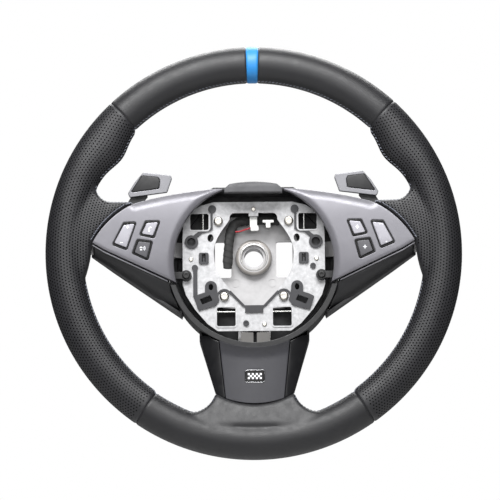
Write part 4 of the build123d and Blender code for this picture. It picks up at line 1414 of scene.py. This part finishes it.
@dataclass
class LowerSpoke:
    """Satin centre panel, dark flanks and the plain badge (millimetres)."""

    face_y: float = -66.0
    curve_r: float = 180.0
    badge: tuple[float, float] = (0.0, -114.3)

    def surface(self, x: np.ndarray, z: np.ndarray) -> np.ndarray:
        """Depth of the centre panel's face.

        Args:
            x: point X values.
            z: point Z values.

        Returns:
            The Y value for each point.
        """
        ring = np.hypot(x, z + 9.0) - 79.3
        cove = 4.6 * np.clip(1 - ring / 11.0, 0, 1) ** 2
        return self.face_y + self.curve_r - np.sqrt(self.curve_r**2 - x**2) - cove

    def _panel(self) -> None:
        """Centre panel with the badge's seat."""
        bottom = arc((26.5, -134.2), (0, -139.0), (-26.5, -134.2), 16)
        top = arc((-32.0, -81.6), (0, -88.3), (32.0, -81.6), 24)
        outline = [*bottom, (-26.5, -134.2), *top, (32.0, -81.6)]
        seat = rounded(self._rect(17.9, 11.5), 1.9)
        panel = Panel("lower_spoke_panel", outline, 7.0, 0.45, self.surface, [seat], cell=3.0)
        dress(panel.build(), PANEL_GREY, ROOT_BODY, ["lower_spoke_cover"])

    def _rect(self, width: float, height: float) -> list[Point]:
        """Corners of a rectangle on the badge's middle.

        Args:
            width: its width.
            height: its height.

        Returns:
            The four corners.
        """
        x, z = self.badge
        return [(x - width / 2, z - height / 2), (x + width / 2, z - height / 2),
                (x + width / 2, z + height / 2), (x - width / 2, z + height / 2)]

    def _flanks(self) -> None:
        """The two dark flanks, sloping back and outwards."""
        outline = [(32.5, -82.2), (26.95, -133.9), (33.0, -131.2), (36.2, -127.6),
                   (50.2, -76.0), (44.0, -76.0)]

        def slope(x: np.ndarray, z: np.ndarray) -> np.ndarray:
            """Depth of the flank, falling away from the panel.

            Args:
                x: point X values.
                z: point Z values.

            Returns:
                The Y value for each point.
            """
            seam = 26.95 + (z + 133.9) * (32.5 - 26.95) / 51.7
            out = np.clip(x - seam, 0, 30)
            return -62.9 + 0.22 * out + 0.022 * out**2

        panel = Panel("flank", outline, 9.0, 0.7, slope, cell=3.0).build()
        work = bmesh.new()
        work.from_mesh(panel.data)
        other = panel.data.copy()
        other.transform(Matrix.Diagonal((-1, 1, 1, 1)))
        other.flip_normals()
        work.from_mesh(other)
        mesh = bpy.data.meshes.new("lower_flanks")
        work.to_mesh(mesh)
        work.free()
        shade(mesh)
        bpy.data.objects.remove(panel)
        piece = new_object("lower_flanks", mesh)
        dress(piece, FLANK_BLACK, ROOT_BODY, ["lower_spoke_flanks"])

    def _badge(self) -> None:
        """Plain chequered badge in a dark frame with a bright edge."""
        y = self.face_y
        edge, opening = rounded(self._rect(17.8, 11.4), 1.8), rounded(self._rect(17.2, 10.8), 1.6)
        rim = Panel("badge_rim", edge, 4.0, 0.15,
                    lambda x, z: np.full(x.shape, y - 0.5), [opening], cell=6.0)
        dress(rim.build(), CHROME, ROOT_BODY, ["badge_frame"])
        field_panel = Panel("badge_field", rounded(self._rect(17.3, 10.9), 1.6), 3.4, 0.2,
                            lambda x, z: np.full(x.shape, y - 0.45), cell=6.0)
        dress(field_panel.build(), BEZEL_BLACK, ROOT_BODY, ["badge_plate"])
        work = bmesh.new()
        x0, z0, size = self.badge[0] - 6.3, self.badge[1] - 2.7, 1.8
        for i in range(7):
            for j in range(3):
                if (i + j) % 2:
                    continue
                a, b = x0 + i * size, z0 + j * size
                corners = [(a, b), (a + size, b), (a + size, b + size), (a, b + size)]
                spots = [Vector((p[0], y - 0.53, p[1])) * MM for p in corners]
                work.faces.new([work.verts.new(spot) for spot in spots])
        mesh = bpy.data.meshes.new("badge_chequers")
        work.to_mesh(mesh)
        work.free()
        dress(new_object("badge_chequers", mesh), ICON_WHITE, ROOT_BODY)

    def build(self) -> None:
        """Build the lower spoke."""
        self._panel()
        self._flanks()
        self._badge()


# Hub -----------------------------------------------------------------------------


@dataclass
class Wiring:
    """Taped bundle and the thin red lead in the hub (millimetres)."""

    bundle: tuple[tuple[float, float, float], ...] = (
        (24.0, -25.5, 34.0), (-13.0, -25.5, 36.6), (-23.4, -29.5, 23.0), (-24.2, -29.5, -11.0))
    lead: tuple[tuple[float, float, float], ...] = (
        (-17.4, -30.3, 23.2), (-13.8, -31.2, 22.8), (-8.2, -32.6, 24.6), (-2.9, -33.6, 26.0))

    def _tube(self, name: str, points: Sequence[tuple[float, float, float]],
              radius: Callable[[float, float], float], rings: int, sides: int) -> bpy.types.Object:
        """Closed tube along a smooth line, with a radius that may vary.

        Args:
            name: piece name.
            points: control points of the line.
            radius: radius at a share of the length and an angle.
            rings: rings along the tube.
            sides: points round it.

        Returns:
            The tube.
        """
        curve = bpy.data.curves.new(name + "_line", "CURVE")
        curve.dimensions = "3D"
        curve.resolution_u = 24
        spline = curve.splines.new("NURBS")
        spline.points.add(len(points) - 1)
        for point, spot in zip(spline.points, points):
            point.co = (*spot, 1)
        spline.order_u = 3
        spline.use_endpoint_u = True
        holder = bpy.data.objects.new(name + "_line", curve)
        line = baked(holder, name + "_line")
        track = coordinates(line.data)
        bpy.data.objects.remove(line)
        steps = np.linalg.norm(np.diff(track, axis=0), axis=1)
        length = np.concatenate([[0], np.cumsum(steps)])
        at = np.linspace(0, length[-1], rings)
        centre = np.column_stack([np.interp(at, length, track[:, k]) for k in range(3)])
        forward = np.gradient(centre, axis=0)
        forward /= np.linalg.norm(forward, axis=1)[:, None]
        verts, faces = [], []
        across = Vector((0, 1, 0)).cross(Vector(forward[0])).normalized()
        for i in range(rings):
            ahead = Vector(forward[i])
            across = (across - ahead * across.dot(ahead)).normalized()
            up = ahead.cross(across)
            for j in range(sides):
                angle = math.tau * j / sides
                r = radius(i / (rings - 1), angle)
                spot = Vector(centre[i]) + (across * math.cos(angle) + up * math.sin(angle)) * r
                verts.append(spot * MM)
        for i in range(rings - 1):
            for j in range(sides):
                a, b = i * sides + j, i * sides + (j + 1) % sides
                faces.append((a, a + sides, b + sides, b))
        faces.append(tuple(range(sides)))
        faces.append(tuple(reversed(range((rings - 1) * sides, rings * sides))))
        mesh = bpy.data.meshes.new(name)
        mesh.from_pydata(verts, [], faces)
        work = bmesh.new()
        work.from_mesh(mesh)
        bmesh.ops.recalc_face_normals(work, faces=work.faces)
        work.to_mesh(mesh)
        work.free()
        shade(mesh, 50)
        return new_object(name, mesh)

    def build(self) -> None:
        """Build the bundle and the lead."""

        def wrapped(share: float, angle: float) -> float:
            """Radius of the taped bundle, with laps and lumps.

            Args:
                share: share of the length, from 0 to 1.
                angle: angle round the bundle in radians.

            Returns:
                The radius in millimetres.
            """
            lap = (share * 15 + angle / math.tau) % 1.0
            taper = 0.86 + 0.14 * min(1.0, (1 - share) * 14)
            lump = 0.22 * math.sin(7 * share * math.pi + 2 * angle)
            return (4.25 + 0.40 * lap + lump) * taper

        bundle = self._tube("harness_bundle", self.bundle, wrapped, 160, 28)
        dress(bundle, TAPE, ROOT_BODY, ["harness"])
        lead = self._tube("red_lead", self.lead, lambda share, angle: 0.7, 40, 12)
        dress(lead, RED_WIRE, ROOT_BODY, ["red_wire"])


@dataclass
class HubWell:
    """Grained pad at the top of the well (millimetres)."""

    half_width: float = 26.6
    foot_z: float = 55.0
    shoulder: Point = (21.6, 63.0)
    top_z: float = 65.2

    def pad(self) -> list[Point]:
        """Outline of the pad, domed along its top.

        Returns:
            The outline's points.
        """
        x, z = self.shoulder
        dome = arc((x, z), (0.0, self.top_z), (-x, z), 12)
        sides = [(-x, z), (-self.half_width, z - 4.4), (-self.half_width, self.foot_z)]
        return [*dome, *sides, (self.half_width, self.foot_z), (self.half_width, z - 4.4)]

    def build(self) -> None:
        """Build the top pad."""

        def crown(x: np.ndarray, z: np.ndarray) -> np.ndarray:
            """Depth of the pad's crowned face."""
            return -63.0 + 2.2 * np.clip((z - 60.5) / 4.3, 0, 1) ** 2 + 0.0012 * x**2

        panel = Panel("top_pad_skin", self.pad(), 9.0, 0.8, crown, cell=2.5)
        dress(panel.build(), PAD_PLASTIC, ROOT_BODY, ["top_pad"])
        roof = Panel("top_pad_roof", [(-22, 62.2), (22, 62.2), (22, 64.0), (-22, 64.0)], 24.0, 0.4,
                     lambda x, z: np.full(x.shape, -55.0), cell=8.0)
        dress(roof.build(), COVER_PLASTIC, ROOT_BODY)


@dataclass
class BossRings:
    """Turned rings on the front of the hub boss (millimetres)."""

    face_y: float = -24.0
    steps: int = 96

    def _ring(self, name: str, profile: Sequence[Point], finish: Finish) -> None:
        """Spin a closed profile round the column axis.

        Args:
            name: piece name.
            profile: radius and depth of each corner.
            finish: finish of the ring.
        """
        count = len(profile)
        verts, faces = [], []
        for i in range(self.steps):
            turn = math.tau * i / self.steps
            verts += [Vector((r * math.cos(turn), y, r * math.sin(turn))) * MM for r, y in profile]
        for i in range(self.steps):
            for j in range(count):
                a, b = i * count + j, i * count + (j + 1) % count
                ahead = (i + 1) % self.steps - i
                faces.append((a, b, b + ahead * count, a + ahead * count))
        mesh = bpy.data.meshes.new(name)
        mesh.from_pydata(verts, [], faces)
        work = bmesh.new()
        work.from_mesh(mesh)
        bmesh.ops.recalc_face_normals(work, faces=work.faces)
        work.to_mesh(mesh)
        work.free()
        shade(mesh)
        dress(new_object(name, mesh), finish, ROOT_BODY)

    def build(self) -> None:
        """Build the outer ring, darker partly as painted shade of the groove, and the bright inner
        one.
        """
        y = self.face_y
        # The outer ring's darker finish is partly painted shade of the boss's groove.
        dark = [(16.6, y + 2.2), (16.6, y + 1.6), (14.9, y - 0.1),
                (13.8, y - 0.25), (13.6, y + 0.6), (13.6, y + 2.2)]
        bright = [(12.9, y + 1.0), (12.9, y - 0.2), (12.4, y - 0.45),
                  (11.6, y - 0.45), (11.2, y - 0.1), (11.2, y + 1.0)]
        self._ring("boss_dark_ring", dark, BUSH_BROWN_AND_SHADE)
        self._ring("boss_bright_ring", bright, BUSH_BRIGHT)


@dataclass
class CarriedNodes:
    """CAD nodes that keep their shape, each with its finish and edge width."""

    plan: dict[str, tuple[Finish, float]] = field(default_factory=lambda: {
        "armature": (CAST_ALLOY, 0.5),
        "rim_core": (STEEL, 0.0),
        "rear_cover": (COVER_PLASTIC, 0.4),
        "hub_shroud": (BLACK_PLASTIC, 0.5),
        "connector_blocks": (PLUG_PLASTIC, 0.4),
        "airbag_plate": (ZINC, 0.25),
        "insulator_lower": (DARK_PLASTIC, 0.25),
        "insulator_upper_right": (DARK_PLASTIC, 0.25),
        "insulator_upper_left": (DARK_PLASTIC, 0.25),
        "airbag_guides": (DARK_PLASTIC, 0.2),
        "plate_plugs": (DARK_PLASTIC, 0.2),
        "plate_rivets": (NICKEL, 0.0),
        "plate_screws": (NICKEL, 0.15),
        "trim_screws": (BLACK_SCREW, 0.15),
        "latch_wire_right": (STEEL, 0.0),
        "latch_wire_left": (STEEL, 0.0),
        "latch_wire_lower": (STEEL, 0.0),
        "lower_spoke_rear_cover": (COVER_PLASTIC, 0.4),
        "paddle_pins": (STEEL, 0.1),
        "paddle_bracket_right": (STEEL, 0.3),
        "paddle_bracket_left": (STEEL, 0.3),
        "paddle_lever_right": (BLACK_PLASTIC, 0.4),
        "paddle_lever_left": (BLACK_PLASTIC, 0.4),
        "white_connector": (WHITE_PLASTIC, 0.3),
        "retainer_clip": (STEEL, 0.2),
        "button_bezels_right": (BEZEL_BLACK, 0.2),
        "button_bezels_left": (BEZEL_BLACK, 0.2),
        "switch_housing_right": (BLACK_PLASTIC, 0.4),
        "switch_housing_left": (BLACK_PLASTIC, 0.4),
        "spoke_rear_cover_right": (COVER_PLASTIC, 0.4),
        "spoke_rear_cover_left": (COVER_PLASTIC, 0.4),
    })

    def build(self) -> None:
        """Dress every carried node."""
        for node, (finish, width) in self.plan.items():
            soft_edges(node, width, finish)


# Studio --------------------------------------------------------------------------


@dataclass
class Studio:
    """Camera, lights, backdrop and floor."""

    distance: float = 2.6
    elevation: float = -8.0
    roll: float = 0.5
    aim: tuple[float, float, float] = (-0.0034, -0.062, 0.0016)
    frame_width: float = 0.4562
    sensor: float = 36.0
    ambient: float = 0.06
    floor_z: float = -1.1
    floor_half: float = 6.0

    def _camera(self) -> None:
        """Long-lens camera in front of the wheel, a little below its axis."""
        tilt = math.radians(self.elevation)
        back = Vector((0, -math.cos(tilt), math.sin(tilt)))
        data = bpy.data.cameras.new("camera")
        data.sensor_width = self.sensor
        data.lens = self.sensor * self.distance / self.frame_width
        data.clip_end = 30
        camera = bpy.data.objects.new("camera", data)
        bpy.context.scene.collection.objects.link(camera)
        turn = back.to_track_quat("Z", "Y").to_matrix().to_4x4()
        spin = Matrix.Rotation(math.radians(-self.roll), 4, "Z")
        place = Matrix.Translation(Vector(self.aim) + back * self.distance)
        camera.matrix_world = place @ turn @ spin
        bpy.context.scene.camera = camera

    def _light(self, name: str, place: Sequence[float], size: tuple[float, float],
               power: float) -> None:
        """Add one soft box that points at the wheel.

        Args:
            name: light name.
            place: its position in metres.
            size: its width and height in metres.
            power: its power in watts.
        """
        data = bpy.data.lights.new(name, "AREA")
        data.shape = "RECTANGLE"
        data.size, data.size_y = size
        data.energy = power
        made = bpy.data.objects.new(name, data)
        bpy.context.scene.collection.objects.link(made)
        made.location = place
        toward = Vector((0, -0.05, 0)) - Vector(place)
        made.rotation_euler = toward.to_track_quat("-Z", "Y").to_euler()

    def _world(self) -> None:
        """White to the camera, and dim soft light for everything else."""
        world = bpy.data.worlds.new("studio")
        world.use_nodes = True
        tree = world.node_tree
        tree.nodes.clear()
        add, link = tree.nodes.new, tree.links.new
        seen, lit = add("ShaderNodeBackground"), add("ShaderNodeBackground")
        seen.inputs["Color"].default_value = (1, 1, 1, 1)
        seen.inputs["Strength"].default_value = 1.0
        lit.inputs["Color"].default_value = (0.95, 0.97, 1, 1)
        lit.inputs["Strength"].default_value = self.ambient
        path, mix = add("ShaderNodeLightPath"), add("ShaderNodeMixShader")
        out = add("ShaderNodeOutputWorld")
        link(path.outputs["Is Camera Ray"], mix.inputs["Fac"])
        link(lit.outputs["Background"], mix.inputs[1])
        link(seen.outputs["Background"], mix.inputs[2])
        link(mix.outputs["Shader"], out.inputs["Surface"])
        bpy.context.scene.world = world

    def _floor(self) -> None:
        """Pale floor well below the wheel."""
        mesh = bpy.data.meshes.new("floor")
        half, low = self.floor_half, self.floor_z
        corners = [(-half, -half, low), (half, -half, low), (half, half, low), (-half, half, low)]
        mesh.from_pydata(corners, [], [(0, 1, 2, 3)])
        floor = new_object("floor", mesh)
        pale = Finish("pale_floor", (0.80, 0.80, 0.80), 0.7, grain_size=0.01,
                      relief=0.00001, tone=0.02)
        mesh.materials.append(pale.material())

    def build(self) -> None:
        """Set the stage."""
        bpy.context.scene.view_settings.view_transform = "Standard"
        bpy.context.scene.view_settings.look = "None"
        self._camera()
        self._world()
        self._floor()
        self._light("key", (-0.12, -1.08, 1.0), (1.4, 0.7), 46)
        self._light("fill", (0.0, -2.6, 0.15), (1.6, 1.0), 17)
        self._light("rear", (0.0, 1.1, 1.5), (1.6, 1.0), 26)
        self._light("ceiling", (0.0, 2.0, 3.4), (4.0, 3.0), 70)


def main() -> None:
    """Build the wheel in order."""
    logging.basicConfig(level=logging.INFO, format="%(name)s %(message)s")
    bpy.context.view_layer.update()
    Studio().build()
    rim = LeatherRim()
    rim.build()
    RimDetail(rim).build()
    for side in (1, -1):
        SideSpoke(side).build()
        Paddle(side).build()
    LowerSpoke().build()
    HubWell().build()
    BossRings().build()
    Wiring().build()
    CarriedNodes().build()


if __name__ == "__main__":
    main()
